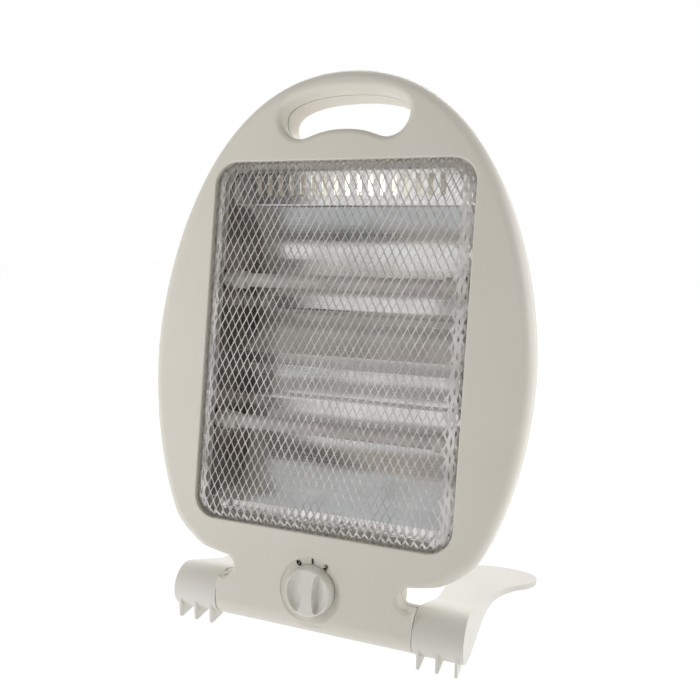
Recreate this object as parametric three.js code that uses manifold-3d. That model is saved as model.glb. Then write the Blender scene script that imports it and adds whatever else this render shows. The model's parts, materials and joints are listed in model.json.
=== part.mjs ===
// A free-standing two-tube quartz heater: an egg-shaped casing that leans back on two hollow feet, with a
// mesh guard over a double-trough reflector, a carry hole in the crown and a rotary power switch in the chin.
// Millimetres, +Z up, +X to the viewer's right, +Y to the back, the floor at Z = 0.
import * as THREE from "three";
import { mergeVertices, mergeGeometries } from "three/addons/utils/BufferGeometryUtils.js";
import Module from "manifold-3d";

const wasm = await Module();
wasm.setup();

// ---- Driving dimensions ------------------------------------------------------------------------------
const GAP = 0.3; // between pieces that touch or nest
const RUNNING_GAP = 0.5; // between pieces that turn past each other
const WALL = 2.4; // moulded plastic

const LEAN = THREE.MathUtils.degToRad(11.2); // how far the casing leans back

// Window for the guard, measured up the face from the floor line of the face
const WINDOW_WIDTH = 185;
const WINDOW_HEIGHT = 250;
const WINDOW_SILL = 76.8;
const WINDOW_CORNER = 16;
const WINDOW_REVEAL = 14; // depth of the wall round the window

// Casing outline
const SIDE_BORDER = 42.1; // from the window to the widest part
const CROWN_BORDER = 61.2; // from the window to the top
const WAIST_SHARE = 0.457; // the widest part, as a share of the window's height
const SHOULDER_INSET = 24.4; // where the sides turn in under the window
const CHIN_HALF_WIDTH = 84; // where the underside begins
const CHIN_HEIGHT = 55.4;
const CHIN_CENTRE = 50;
const EDGE_ROUND = 8; // rounding of the front edge
const PARTING_DEPTH = 12; // front shell's depth
const RIM_DEPTH = 35; // rear shell's rim
const RIM_ROUND = 9;
const PARTING_STEP = 0.5; // the rear shell is a little smaller at the joint

// Raised housing on the back
const HOUSING_BEHIND_TROUGH = 16; // room for the cut-out behind the reflector
const HOUSING_MARGIN = 17; // round the window
const HOUSING_CORNER = 42;
const HOUSING_DRAFT = 5;
const HOUSING_ROUND = 9;

// Neck and bar under the casing, coaxial with the feet
const BAR_RADIUS = 15;
const BAR_HALF_LENGTH = 71;
const HUB_ON_FACE = 22.8; // hub axis, up the face
const NECK_HALF_WIDTH = 59.5;
const NECK_DEPTH = 30;

// Carry hole
const HANDLE_HALF_LENGTH = 45.5;
const HANDLE_TOP_BELOW_CROWN = 14.5;
const HANDLE_END_RADIUS = 15;
const HANDLE_ARCH = 6; // the lower edge rises in the middle
const HANDLE_WAIST = 25.2; // height in the middle

// Feet
const HUB_RADIUS = 15.3;
const HUB_CLEAR_OF_FLOOR = 4.1;
const FOOT_WIDTH = 33;
const FOOT_WALL = 2.4;
const FOOT_REACH = 132; // from the hub axis to the back edge
const FOOT_FLARE = 31; // how far the back spreads outwards
const FOOT_SKIRT_CLEAR = 2; // side walls stop short of the floor
const FOOT_TOE = 5; // thickness at the back edge
const FOOT_KNEE = 48; // behind the hub axis, where the slope eases
const FOOT_KNEE_HEIGHT = 15;
const FIN_THICKNESS = 1.8;
const FIN_PITCH = 12.4;
const FIN_REACH = 10; // how far the fins run behind the hub axis
const SPIGOT_RADIUS = 7.7;
const SPIGOT_FLANGE = 10;

// Heating tubes
const TUBE_PITCH = 102; // between the tube axes
const TUBE_ABOVE_SILL = 67.7; // lower tube axis
const TUBE_DEPTH = 20;
const TUBE_RADIUS = 5;
const TUBE_WALL = 1;
const TUBE_IN_CAP = 5;
const CAP_WALL = 1.4; // round the tube
const CAP_LENGTH = 17;
const CAP_NECK = 4.4;
const PIN_RADIUS = 0.9;
const COIL_CLEARANCE = 1; // inside the tube

// Reflector
const SHEET = 0.8;
const REFLECTOR_SIDE = 3; // inside the window on each side
const RIDGE_DEPTH = 29;
const TROUGH_DEPTH = 46;
const TROUGH_HALF = 51;
const LIP_DEPTH = 21; // where the troughs end
const TOP_SLOTS = 17;
const SLOT_PITCH = 8.4;
const SLOT_WIDTH = 3.4;
const FRAME_LAP = 3; // the frame laps over the wall round the window

// Guard: a tray of expanded metal
const GUARD_SHEET = 1;
const GUARD_PROUD = 1.5;
const GUARD_TRAY_DEPTH = 9;
const GUARD_SLOPE = 4.5; // the sides spread towards the back
const GUARD_COLUMNS = 10;
const GUARD_ROWS = 6;
const GUARD_STRAND = 1.5;

// Knob and switch
const KNOB_HEIGHT = 39.2; // up the face
const KNOB_RADIUS = 16.2;
const KNOB_PROUD = 5.5;
const KNOB_GRIP = 10;
const KNOB_POCKET = 3.4;
const KNOB_SKIRT = 2.2; // wall round the knob's hollow back
const DIAL_RADIUS = 21;
const DIAL_DEPTH = 2.5;
const SHAFT_RADIUS = 2.9;
const SWITCH_SIZE = 22;
const SWITCH_DEPTH = 14;

// Fasteners
const SCREW_RADIUS = 1.4;
const SCREW_HEAD = 2.8;
const SCREW_HEAD_HEIGHT = 1.8;
const BOSS_RADIUS = 4;
const SCREW_BITE = 9; // how far a screw enters its boss
const BOSS_BEHIND_PARTING = 6; // where the front bosses meet the rear bosses
const WELL_DEPTH = 6; // screw heads sit this deep in the back

// Vents on the back of the housing
const VENT_ROWS = 6;
const VENT_PITCH = 10;
const VENT_HEIGHT = 4;
const VENT_WIDTH = 46;
const VENT_COLUMN = 28;

// Terminals and spring clips on the tubes' ends
const TERMINAL_LENGTH = 6;
const TERMINAL_RADIUS = 2.4;
const CLIP_WIDTH = 4;
const CLIP_SHEET = 0.7;

// Tilt switch, terminal block, inlet bush and leads in the neck
const TILT_INSET = 22; // from the neck's side to the middle of the frame
const TILT_WIDTH = 13;
const TILT_PIN_HEIGHT = 50;
const TILT_PIN_DEPTH = 14;
const TILT_ARM = 15;
const TILT_WEIGHT_RADIUS = 4.2;
const BLOCK_X = 36;
const BLOCK_HEIGHT = 26;
const BLOCK_SIZE = [22, 11, 9];
const BUSH_RADIUS = 4.6;
const BUSH_BORE = 3.3;
const BUSH_X = 30;
const BUSH_ABOVE_BAR = 4.4; // from the bar's top to the bush's middle
const LEAD_RADIUS = 1.1;

// ---- Derived places ----------------------------------------------------------------------------------
const windowHalf = WINDOW_WIDTH / 2;
const windowTop = WINDOW_SILL + WINDOW_HEIGHT;
const caseHalf = windowHalf + SIDE_BORDER;
const crown = windowTop + CROWN_BORDER;
const waist = WINDOW_SILL + WAIST_SHARE * WINDOW_HEIGHT;
const hubHeight = HUB_RADIUS + HUB_CLEAR_OF_FLOOR;
const lowerTube = WINDOW_SILL + TUBE_ABOVE_SILL;
const upperTube = lowerTube + TUBE_PITCH;
const ridge = (lowerTube + upperTube) / 2;
const reflectorHalf = windowHalf - REFLECTOR_SIDE;
const plateInner = reflectorHalf + GAP;
const plateOuter = plateInner + SHEET;
const sheetFront = WINDOW_REVEAL + SHEET + 2 * GAP; // behind the frame
const rearStart = PARTING_DEPTH + GAP;
const bossSplit = PARTING_DEPTH + BOSS_BEHIND_PARTING;
const housingDepth = TROUGH_DEPTH + HOUSING_BEHIND_TROUGH;
const coilRadius = TUBE_RADIUS - TUBE_WALL - COIL_CLEARANCE;
const capRadius = TUBE_RADIUS + CAP_WALL;
const switchScrewOffset = (KNOB_RADIUS - KNOB_SKIRT + KNOB_GRIP / 2) / 2; // in the knob's hollow
const footInner = BAR_HALF_LENGTH + RUNNING_GAP;
const footOuter = footInner + FOOT_WIDTH;
const clipOuter = SPIGOT_RADIUS + 1;
const clipStart = footOuter - 12;
const barTop = HUB_ON_FACE + BAR_RADIUS;
const bushHeight = barTop + BUSH_ABOVE_BAR;
const tiltX = TILT_INSET - NECK_HALF_WIDTH;

// ---- Materials ---------------------------------------------------------------------------------------
const finish = (color, roughness, metalness = 0) =>
  new THREE.MeshStandardMaterial({ color, roughness, metalness });
const IVORY = finish(0xe9e6dc, 0.42);
const WHITE = finish(0xf1efe8, 0.4);
const STEEL = finish(0xb9b9b7, 0.35, 0.9);
const MIRROR = finish(0xd5d7d9, 0.15, 1);
const QUARTZ = finish(0xe4e0dc, 0.3);
const CERAMIC = finish(0xf0ece2, 0.7);
const WIRE = finish(0x6d6258, 0.5, 0.8);
const BRASS = finish(0xb99b52, 0.35, 0.9);
const BLACK = finish(0x26262a, 0.55);
const LEAD_BLUE = finish(0x3a5f9c, 0.6);
const LEAD_BROWN = finish(0x6a4430, 0.6);

// ---- Making solids -----------------------------------------------------------------------------------
/** A closed geometry as a solid, for joins and cuts. */
function solid(geometry) {
  const bare = geometry.clone();
  bare.deleteAttribute("normal");
  bare.deleteAttribute("uv");
  const merged = mergeVertices(bare, 1e-4);
  return new wasm.Manifold(
    new wasm.Mesh({
      numProp: 3,
      vertProperties: merged.attributes.position.array,
      triVerts: new Uint32Array(merged.index.array),
    }),
  );
}

/** A solid back as a geometry. */
function geometryOf(body) {
  const { vertProperties, numProp, triVerts } = body.getMesh();
  const points = new Float32Array((vertProperties.length / numProp) * 3);
  for (let i = 0; i < points.length / 3; i++)
    for (let k = 0; k < 3; k++) points[3 * i + k] = vertProperties[numProp * i + k];
  const geometry = new THREE.BufferGeometry();
  geometry.setAttribute("position", new THREE.BufferAttribute(points, 3));
  geometry.setIndex(new THREE.BufferAttribute(new Uint32Array(triVerts), 1));
  return geometry;
}

const join = (...bodies) => bodies.reduce((a, b) => a.add(b));
const cut = (body, ...tools) => tools.reduce((a, b) => a.subtract(b), body);

/** Outline in x and z, extruded backwards (along y) from one depth to another. */
function slab(outline, from, to) {
  const shape = outline instanceof THREE.Shape ? outline : new THREE.Shape(outline);
  const settings = { depth: to - from, bevelEnabled: false, curveSegments: 4 };
  const geometry = new THREE.ExtrudeGeometry(shape, settings);
  return solid(geometry.rotateX(Math.PI / 2).translate(0, to, 0));
}

/** Profile of [y, z] points, extruded along x from one side to the other. */
function bar(profile, left, right) {
  const shape = new THREE.Shape(profile.map(([y, z]) => new THREE.Vector2(y, z)));
  const geometry = new THREE.ExtrudeGeometry(shape, { depth: right - left, bevelEnabled: false });
  const turn = new THREE.Matrix4().makeBasis(
    new THREE.Vector3(0, 1, 0),
    new THREE.Vector3(0, 0, 1),
    new THREE.Vector3(1, 0, 0),
  );
  return solid(geometry.applyMatrix4(turn).translate(left, 0, 0));
}

/** A box between two corners. */
function block([x0, y0, z0], [x1, y1, z1]) {
  const geometry = new THREE.BoxGeometry(x1 - x0, y1 - y0, z1 - z0);
  return solid(geometry.translate((x0 + x1) / 2, (y0 + y1) / 2, (z0 + z1) / 2));
}

/** A round rod along "x", "y" or "z" between two places on that axis. */
function rod(axis, radius, from, to, a = 0, b = 0, sides = 16) {
  const geometry = new THREE.CylinderGeometry(radius, radius, to - from, sides);
  const middle = (from + to) / 2;
  if (axis === "x") geometry.rotateZ(-Math.PI / 2).translate(middle, a, b);
  if (axis === "y") geometry.translate(0, middle, 0).translate(a, 0, b);
  if (axis === "z") geometry.rotateX(Math.PI / 2).translate(a, b, middle);
  return solid(geometry);
}

/** A turned piece along x: closed profile of [x, radius] points, on or off the axis. */
function turnedX(profile, sides = 12) {
  const points = profile.map(([x, r]) => new THREE.Vector2(r, x));
  return solid(new THREE.LatheGeometry(points, sides).rotateZ(-Math.PI / 2));
}

/** A turned piece along y (depth): closed profile of [depth, radius] points. */
function turnedY(profile, sides = 24) {
  const points = profile.map(([y, r]) => new THREE.Vector2(r, y));
  return solid(new THREE.LatheGeometry(points, sides));
}

/** Rings of points with the same count, joined into a closed skin. */
function loft(rings) {
  const count = rings[0].length;
  const positions = rings.flatMap((ring) => ring.flat());
  const index = [];
  for (let r = 0; r + 1 < rings.length; r++)
    for (let i = 0; i < count; i++) {
      const j = (i + 1) % count;
      const [a, b] = [r * count + i, r * count + j];
      index.push(a, b, a + count, b, b + count, a + count);
    }
  const cap = (ring, base, toFront) => {
    const flat = ring.map(([x, , z]) => new THREE.Vector2(x, z));
    for (const face of THREE.ShapeUtils.triangulateShape(flat, [])) {
      const isFront = THREE.ShapeUtils.area(face.map((i) => flat[i])) > 0;
      if (isFront !== toFront) face.reverse();
      index.push(...face.map((i) => base + i));
    }
  };
  cap(rings[0], 0, true);
  cap(rings.at(-1), (rings.length - 1) * count, false);
  const geometry = new THREE.BufferGeometry();
  geometry.setAttribute("position", new THREE.Float32BufferAttribute(positions, 3));
  geometry.setIndex(index);
  return solid(geometry);
}

/** Mirrors a solid to the other side of the heater. */
const mirrored = (body) => body.mirror([1, 0, 0]);

// ---- Outlines on the face ----------------------------------------------------------------------------
/** Right half of the casing's outline, from the crown round to the chin, as [x, height]. */
function halfOutline() {
  const at = (x, z) => new THREE.Vector2(x, z);
  const shoulder = at(caseHalf - SHOULDER_INSET, WINDOW_SILL - 0.8);
  const chin = at(CHIN_HALF_WIDTH, CHIN_HEIGHT);
  const slope = at(-0.461, -0.887);
  const curves = [
    [
      at(0, crown),
      at(0.788 * caseHalf, crown),
      at(caseHalf, waist + 0.297 * (crown - waist)),
      at(caseHalf, waist),
      13,
    ],
    [
      at(caseHalf, waist),
      at(caseHalf, waist - 0.451 * (waist - shoulder.y)),
      shoulder.clone().addScaledVector(slope, -22.4),
      shoulder,
      5,
    ],
    [shoulder, shoulder.clone().addScaledVector(slope, 10.9), chin.clone().add(at(6.7, 1.34)), chin, 4],
    [chin, chin.clone().add(at(-24, -4.8)), at(28, CHIN_CENTRE), at(0, CHIN_CENTRE), 2],
  ];
  const points = curves.flatMap(([a, b, c, d, steps]) => {
    const curve = new THREE.CubicBezierCurve(a, b, c, d);
    return curve.getPoints(steps).slice(0, -1);
  });
  return [...points, at(0, CHIN_CENTRE)];
}

/** The whole outline, clockwise from the crown, drawn in by an inset along its normals. */
function caseOutline(inset = 0) {
  const right = halfOutline();
  const left = right.slice(1, -1).reverse().map((p) => new THREE.Vector2(-p.x, p.y));
  const loop = [...right, ...left];
  return loop.map((p, i) => {
    const before = loop[(i + loop.length - 1) % loop.length];
    const after = loop[(i + 1) % loop.length];
    const along = after.clone().sub(before).normalize();
    return [p.x + along.y * inset, p.y - along.x * inset];
  });
}

const ringAt = (outline, depth) => outline.map(([x, z]) => [x, depth, z]);

/** A Shape's outline as [x, height] points, clockwise, with no point twice. */
function loopOf(shape, divisions) {
  const points = shape.getPoints(divisions);
  if (points[0].distanceTo(points.at(-1)) < 1e-6) points.pop();
  return points.reverse().map((p) => [p.x, p.y]);
}

/** A rectangle with round corners, centred on x = 0, as a Shape. */
function roundRectangle(half, bottom, top, radius, shape = new THREE.Shape()) {
  shape.moveTo(half - radius, bottom);
  shape.absarc(half - radius, bottom + radius, radius, -Math.PI / 2, 0);
  shape.absarc(half - radius, top - radius, radius, 0, Math.PI / 2);
  shape.absarc(-half + radius, top - radius, radius, Math.PI / 2, Math.PI);
  shape.absarc(-half + radius, bottom + radius, radius, Math.PI, 1.5 * Math.PI);
  return shape;
}

/** The window's outline, grown by a margin. */
const windowShape = (grow) =>
  roundRectangle(windowHalf + grow, WINDOW_SILL - grow, windowTop + grow, WINDOW_CORNER + grow);

/** The carry hole: a kidney with its lower edge arched up, grown by a margin. */
function handleShape(grow) {
  const top = crown - HANDLE_TOP_BELOW_CROWN + grow;
  const arch = crown - HANDLE_TOP_BELOW_CROWN - HANDLE_WAIST - grow;
  const end = HANDLE_HALF_LENGTH + grow;
  const lobe = HANDLE_HALF_LENGTH - HANDLE_END_RADIUS;
  const low = arch - HANDLE_ARCH;
  const side = low + HANDLE_END_RADIUS + grow;
  const shape = new THREE.Shape();
  shape.moveTo(0, top);
  shape.bezierCurveTo(-0.47 * end, top, -end, top - 0.22 * (top - side), -end, side);
  shape.bezierCurveTo(-end, side - 0.55 * (side - low), -lobe - 0.55 * (end - lobe), low, -lobe, low);
  shape.bezierCurveTo(-lobe + 6, low, -0.6 * lobe, arch, 0, arch);
  shape.bezierCurveTo(0.6 * lobe, arch, lobe - 6, low, lobe, low);
  shape.bezierCurveTo(lobe + 0.55 * (end - lobe), low, end, side - 0.55 * (side - low), end, side);
  shape.bezierCurveTo(end, top - 0.22 * (top - side), 0.47 * end, top, 0, top);
  return shape;
}

/** The neck between the casing and the bar, with a round notch on each side, shrunk by an inset. */
function neckShape(inset) {
  const chinAtNotch = CHIN_HEIGHT - 2.6;
  const radius = (chinAtNotch - barTop) / 2 + inset;
  const middle = (chinAtNotch + barTop) / 2;
  const notchCentre = NECK_HALF_WIDTH + radius - inset;
  const end = BAR_HALF_LENGTH - inset;
  const shape = new THREE.Shape();
  shape.moveTo(-end, HUB_ON_FACE);
  shape.lineTo(end, HUB_ON_FACE);
  shape.lineTo(end, middle - radius);
  shape.lineTo(notchCentre, middle - radius);
  shape.absarc(notchCentre, middle, radius, -Math.PI / 2, -1.5 * Math.PI, true);
  shape.lineTo(notchCentre, CHIN_HEIGHT + 4);
  shape.lineTo(-notchCentre, CHIN_HEIGHT + 4);
  shape.lineTo(-notchCentre, middle + radius);
  shape.absarc(-notchCentre, middle, radius, Math.PI / 2, -Math.PI / 2, true);
  shape.lineTo(-end, middle - radius);
  return shape;
}

// ---- Casing ------------------------------------------------------------------------------------------
/** Quarter-round steps as [inset, advance] shares, from the flat face to the side wall. */
const quarter = (steps) =>
  Array.from({ length: steps + 1 }, (_, i) => {
    const angle = (Math.PI / 2) * (i / steps);
    return [1 - Math.sin(angle), 1 - Math.cos(angle)];
  });

/** Front half of the casing's oval, solid, shrunk by a wall thickness. */
function frontOval(shrink, steps) {
  const round = EDGE_ROUND - shrink * 0.6;
  const rings = quarter(steps).map(([inset, advance]) =>
    ringAt(caseOutline(shrink + inset * round), shrink + advance * round),
  );
  return loft([...rings, ringAt(caseOutline(shrink), PARTING_DEPTH + (shrink ? 1 : 0))]);
}

/** Rim half of the casing's oval behind the joint, solid, shrunk by a wall thickness. */
function rearOval(shrink, steps) {
  const from = shrink ? rearStart - 1 : rearStart;
  const side = PARTING_STEP + shrink;
  const round = RIM_ROUND - shrink * 0.6;
  const back = RIM_DEPTH - shrink;
  const rings = quarter(steps)
    .reverse()
    .map(([inset, advance]) => ringAt(caseOutline(side + inset * round), back - advance * round));
  return loft([ringAt(caseOutline(side), from), ...rings]);
}

/** Raised housing on the back, solid, shrunk by a wall thickness. */
function housing(shrink, steps) {
  const ring = (inset, depth) => {
    const grow = HOUSING_MARGIN - shrink - inset;
    const shape = roundRectangle(
      windowHalf + grow,
      WINDOW_SILL - grow + 4,
      windowTop + grow - 8,
      HOUSING_CORNER - inset,
    );
    return ringAt(loopOf(shape, 3), depth);
  };
  const back = housingDepth - shrink;
  const rings = quarter(steps)
    .reverse()
    .map(([inset, advance]) => ring(HOUSING_DRAFT + inset * HOUSING_ROUND, back - advance * HOUSING_ROUND));
  return loft([ring(0, RIM_DEPTH - RIM_ROUND - 2 * WALL), ...rings]);
}

/** Neck and bar, solid, shrunk by a wall thickness. */
function neckAndBar(shrink) {
  const neck = slab(neckShape(shrink), shrink, NECK_DEPTH - shrink);
  const shoulders = slab(
    new THREE.Shape(
      [
        [-BAR_HALF_LENGTH - 1, HUB_ON_FACE],
        [BAR_HALF_LENGTH + 1, HUB_ON_FACE],
        [BAR_HALF_LENGTH + 1, barTop + 1],
        [-BAR_HALF_LENGTH - 1, barTop + 1],
      ].map(([x, z]) => new THREE.Vector2(x, z)),
    ),
    BAR_RADIUS,
    NECK_DEPTH + 1,
  );
  const corners = cut(
    shoulders,
    block(
      [-NECK_HALF_WIDTH, 0, HUB_ON_FACE - 1],
      [NECK_HALF_WIDTH, NECK_DEPTH + 2, barTop + 2],
    ),
  );
  const round = rod(
    "x",
    BAR_RADIUS - shrink,
    -BAR_HALF_LENGTH + shrink,
    BAR_HALF_LENGTH - shrink,
    BAR_RADIUS,
    HUB_ON_FACE,
    24,
  );
  return join(cut(neck, corners), round);
}

const barBore = rod(
  "x",
  SPIGOT_RADIUS + GAP,
  BAR_HALF_LENGTH - 8,
  BAR_HALF_LENGTH + 2,
  BAR_RADIUS,
  HUB_ON_FACE,
  20,
);
const barEnds = [barBore.mirror([1, 0, 0]), barBore];

/** Places of the screws that join the shells, as [x, height, back of the shell there]. */
const shellScrews = {
  crown: [0.46 * caseHalf, crown - 37, RIM_DEPTH],
  side: [caseHalf - 13, waist - 20, RIM_DEPTH],
  neck: [NECK_HALF_WIDTH - 9, barTop + 9, NECK_DEPTH],
};
const everyScrew = Object.entries(shellScrews).flatMap(([place, [x, z, back]]) => [
  { name: `${place}_left_shell_screw`, x: -x, z, back },
  { name: `${place}_right_shell_screw`, x, z, back },
]);

/** Front shell: face, window, carry hole, dial recess, bosses and the front of the bar. */
function frontShell() {
  const shell = cut(join(frontOval(0, 4), neckAndBar(0)), join(frontOval(WALL, 1), neckAndBar(WALL)));
  const reveal = slab(windowShape(WALL), 0, WINDOW_REVEAL);
  const sleeve = slab(handleShape(WALL), EDGE_ROUND / 4, PARTING_DEPTH);
  const dialBack = rod("y", DIAL_RADIUS + WALL, WALL / 2, DIAL_DEPTH + WALL, 0, KNOB_HEIGHT, 24);
  const bosses = everyScrew.map(({ x, z }) => rod("y", BOSS_RADIUS, WALL / 2, bossSplit, x, z, 10));
  const behind = block(
    [-caseHalf - 9, PARTING_DEPTH, -9],
    [caseHalf + 9, housingDepth + 9, crown + 9],
  );
  const plain = join(cut(join(shell, sleeve), behind), reveal, dialBack, ...bosses);
  const dial = turnedY([
    [-1, 0],
    [-1, DIAL_RADIUS + 1],
    [DIAL_DEPTH, DIAL_RADIUS - DIAL_DEPTH],
    [DIAL_DEPTH, 0],
  ], 32);
  const rounding = handleRounding();
  const holes = [
    slab(windowShape(0), -1, WINDOW_REVEAL + 1),
    slab(handleShape(0), -1, PARTING_DEPTH + 1),
    rounding,
    dial.translate([0, 0, KNOB_HEIGHT]),
    rod("y", SHAFT_RADIUS + 0.7, 0, DIAL_DEPTH + WALL + 1, 0, KNOB_HEIGHT),
    ...[-1, 1].map((side) =>
      rod("y", SCREW_RADIUS + GAP, 0, DIAL_DEPTH + WALL + 1, side * switchScrewOffset, KNOB_HEIGHT, 10),
    ),
    ...everyScrew.map(({ x, z }) =>
      rod("y", SCREW_RADIUS + GAP, bossSplit - SCREW_BITE - 1, bossSplit + 1, x, z, 8),
    ),
    ...barEnds,
  ];
  return cut(plain, ...holes);
}

/** The soft edge of the carry hole on the front: a ring of small steps round the kidney. */
function handleRounding() {
  const steps = [
    [3.4, -0.5],
    [0.9, 1],
    [-0.5, 3.5],
  ];
  return loft(steps.map(([grow, depth]) => ringAt(loopOf(handleShape(grow), 4), depth)));
}

/** Rear shell: rim, housing with its vents, carry hole, screw wells and the back of the bar. */
function rearShell() {
  const solidBack = join(rearOval(0, 3), housing(0, 2), neckAndBar(0));
  const hollow = join(rearOval(WALL, 1), housing(WALL, 1), neckAndBar(WALL));
  const sleeve = slab(handleShape(WALL), rearStart, RIM_DEPTH);
  const wells = everyScrew.map(({ x, z, back }) =>
    rod("y", BOSS_RADIUS + 1, bossSplit + GAP, back - 0.4, x, z, 12),
  );
  const front = block([-caseHalf - 9, -9, -9], [caseHalf + 9, rearStart, crown + 9]);
  const shell = cut(solidBack, hollow);
  const plain = cut(join(shell, sleeve, ...wells), front);
  const holes = [
    slab(handleShape(0), rearStart - 1, RIM_DEPTH + 1),
    ...everyScrew.flatMap(({ x, z, back }) => [
      rod("y", SCREW_RADIUS + GAP, bossSplit - 1, back, x, z, 8),
      rod("y", SCREW_HEAD + 2 * GAP, back - WELL_DEPTH, back + 2, x, z, 12),
    ]),
    ...barEnds,
    ...ventSlots(),
    rod("y", BUSH_RADIUS + GAP, NECK_DEPTH - 9, NECK_DEPTH + 3, BUSH_X, bushHeight, 16),
  ];
  return cut(plain, ...holes);
}

/** Rows of slots near the top and the bottom of the housing. */
function ventSlots() {
  const slots = [];
  for (const column of [-1, 1])
    for (let row = 0; row < VENT_ROWS; row++)
      for (const start of [windowTop - 24 - row * VENT_PITCH, WINDOW_SILL + 22 + row * VENT_PITCH]) {
        const x = column * VENT_COLUMN;
        slots.push(
          block(
            [x - VENT_WIDTH / 2, housingDepth - 2 * WALL, start],
            [x + VENT_WIDTH / 2, housingDepth + 1, start + VENT_HEIGHT],
          ),
        );
      }
  return slots;
}

// ---- Guard -------------------------------------------------------------------------------------------
/** Expanded-metal tray: a net of diamonds with sloping sides. */
function guard() {
  const half = windowHalf - GAP - 0.6;
  const bottom = WINDOW_SILL + GAP + 0.6;
  const top = windowTop - GAP - 0.6;
  const rings = (shrink, front, back) => {
    const ring = (inset, depth) => {
      const shape = roundRectangle(half - inset, bottom + inset, top - inset, WINDOW_CORNER - inset * 0.6);
      return ringAt(loopOf(shape, 3), depth);
    };
    return loft([
      ring(GUARD_SLOPE + 1.5 + shrink, front),
      ring(GUARD_SLOPE + shrink, front + 1.5),
      ring(shrink, back),
    ]);
  };
  const face = -GUARD_PROUD;
  const tray = cut(
    rings(0, face, GUARD_TRAY_DEPTH),
    rings(GUARD_SHEET, face + GUARD_SHEET, GUARD_TRAY_DEPTH + 0.01),
  );
  const margin = GUARD_SLOPE + 2.5;
  return cut(tray, guardDiamonds(half - margin, bottom + margin, top - margin));
}

/** The net's openings, in staggered rows of diamonds taller than they are wide. */
function guardDiamonds(half, bottom, top) {
  const pitchX = (2 * half) / GUARD_COLUMNS;
  const pitchZ = (top - bottom) / GUARD_ROWS;
  const [w, h] = [pitchX / 2 - GUARD_STRAND / 2, pitchZ / 2 - GUARD_STRAND];
  const pieces = [];
  const diamond = (x, z) => {
    const shape = new THREE.Shape([
      new THREE.Vector2(x, z - h),
      new THREE.Vector2(x + w, z),
      new THREE.Vector2(x, z + h),
      new THREE.Vector2(x - w, z),
    ]);
    const depth = GUARD_PROUD + GUARD_SHEET + 2;
    return new THREE.ExtrudeGeometry(shape, { depth, bevelEnabled: false })
      .rotateX(Math.PI / 2)
      .translate(0, depth - GUARD_PROUD - 1, 0);
  };
  for (let row = 0; row < GUARD_ROWS; row++)
    for (let column = 0; column < GUARD_COLUMNS; column++)
      pieces.push(diamond(-half + (column + 0.5) * pitchX, bottom + (row + 0.5) * pitchZ));
  for (let row = 1; row < GUARD_ROWS; row++)
    for (let column = 1; column < GUARD_COLUMNS; column++)
      pieces.push(diamond(-half + column * pitchX, bottom + row * pitchZ));
  return solid(mergeGeometries(pieces));
}

// ---- Reflector and tubes -----------------------------------------------------------------------------
/** Front side of the reflector as [depth, height] points, from the bottom lip to the top lip. */
function reflectorProfile() {
  const trough = (centre) => {
    const points = [];
    for (let i = 0; i <= 8; i++) {
      const share = -1 + i / 4;
      const rim = share < 0 === centre < ridge ? LIP_DEPTH : RIDGE_DEPTH;
      points.push([TROUGH_DEPTH - (TROUGH_DEPTH - rim) * share * share, centre + share * TROUGH_HALF]);
    }
    return points;
  };
  return [
    [sheetFront, WINDOW_SILL + 3],
    ...trough(lowerTube),
    ...trough(upperTube).slice(1),
    [sheetFront, windowTop - 3],
  ];
}

/** The folded sheet between the end plates, with slots in its top panel. */
function reflector() {
  const front = reflectorProfile();
  const back = front.map(([y, z]) => [y + SHEET, z]).reverse();
  const sheet = bar([...front, ...back], -reflectorHalf, reflectorHalf);
  const [panelStart, panelEnd] = [upperTube + TROUGH_HALF, windowTop - 3];
  const height = panelEnd - panelStart;
  const slots = Array.from({ length: TOP_SLOTS }, (_, i) => {
    const x = (i - (TOP_SLOTS - 1) / 2) * SLOT_PITCH;
    return block(
      [x - SLOT_WIDTH / 2, sheetFront - 2, panelStart + 0.2 * height],
      [x + SLOT_WIDTH / 2, LIP_DEPTH + 3, panelEnd - 0.2 * height],
    );
  });
  return cut(sheet, ...slots);
}

/** Frame between the wall round the window and the reflector. */
function reflectorFrame() {
  const front = WINDOW_REVEAL + GAP;
  const opening = roundRectangle(plateInner, WINDOW_SILL + 4, windowTop - 4, WINDOW_CORNER - 4);
  return cut(
    slab(windowShape(FRAME_LAP), front, front + SHEET),
    slab(opening, front - 1, front + SHEET + 1),
  );
}

/** Right end plate, with a hole for each tube's cap. */
function endPlate() {
  const profile = [
    [sheetFront, WINDOW_SILL + 4],
    [LIP_DEPTH + 8, WINDOW_SILL + 4],
    [TROUGH_DEPTH + 3, lowerTube - 0.6 * TROUGH_HALF],
    [TROUGH_DEPTH + 3, upperTube + 0.6 * TROUGH_HALF],
    [LIP_DEPTH + 8, windowTop - 4],
    [sheetFront, windowTop - 4],
  ];
  const holes = [lowerTube, upperTube].map((z) =>
    rod("x", CAP_NECK + GAP, plateInner - 1, plateOuter + 1, TUBE_DEPTH, z, 16),
  );
  return cut(bar(profile, plateInner, plateOuter), ...holes);
}

const capInner = reflectorHalf - CAP_LENGTH;
const tubeHalf = capInner + TUBE_IN_CAP;
const terminalStart = plateOuter + 5;

/** Open-ended quartz tube along x, on its own axis. */
const quartzTube = () =>
  turnedX(
    [
      [-tubeHalf, TUBE_RADIUS - TUBE_WALL],
      [-tubeHalf, TUBE_RADIUS],
      [tubeHalf, TUBE_RADIUS],
      [tubeHalf, TUBE_RADIUS - TUBE_WALL],
      [-tubeHalf, TUBE_RADIUS - TUBE_WALL],
    ],
    20,
  );

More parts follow.
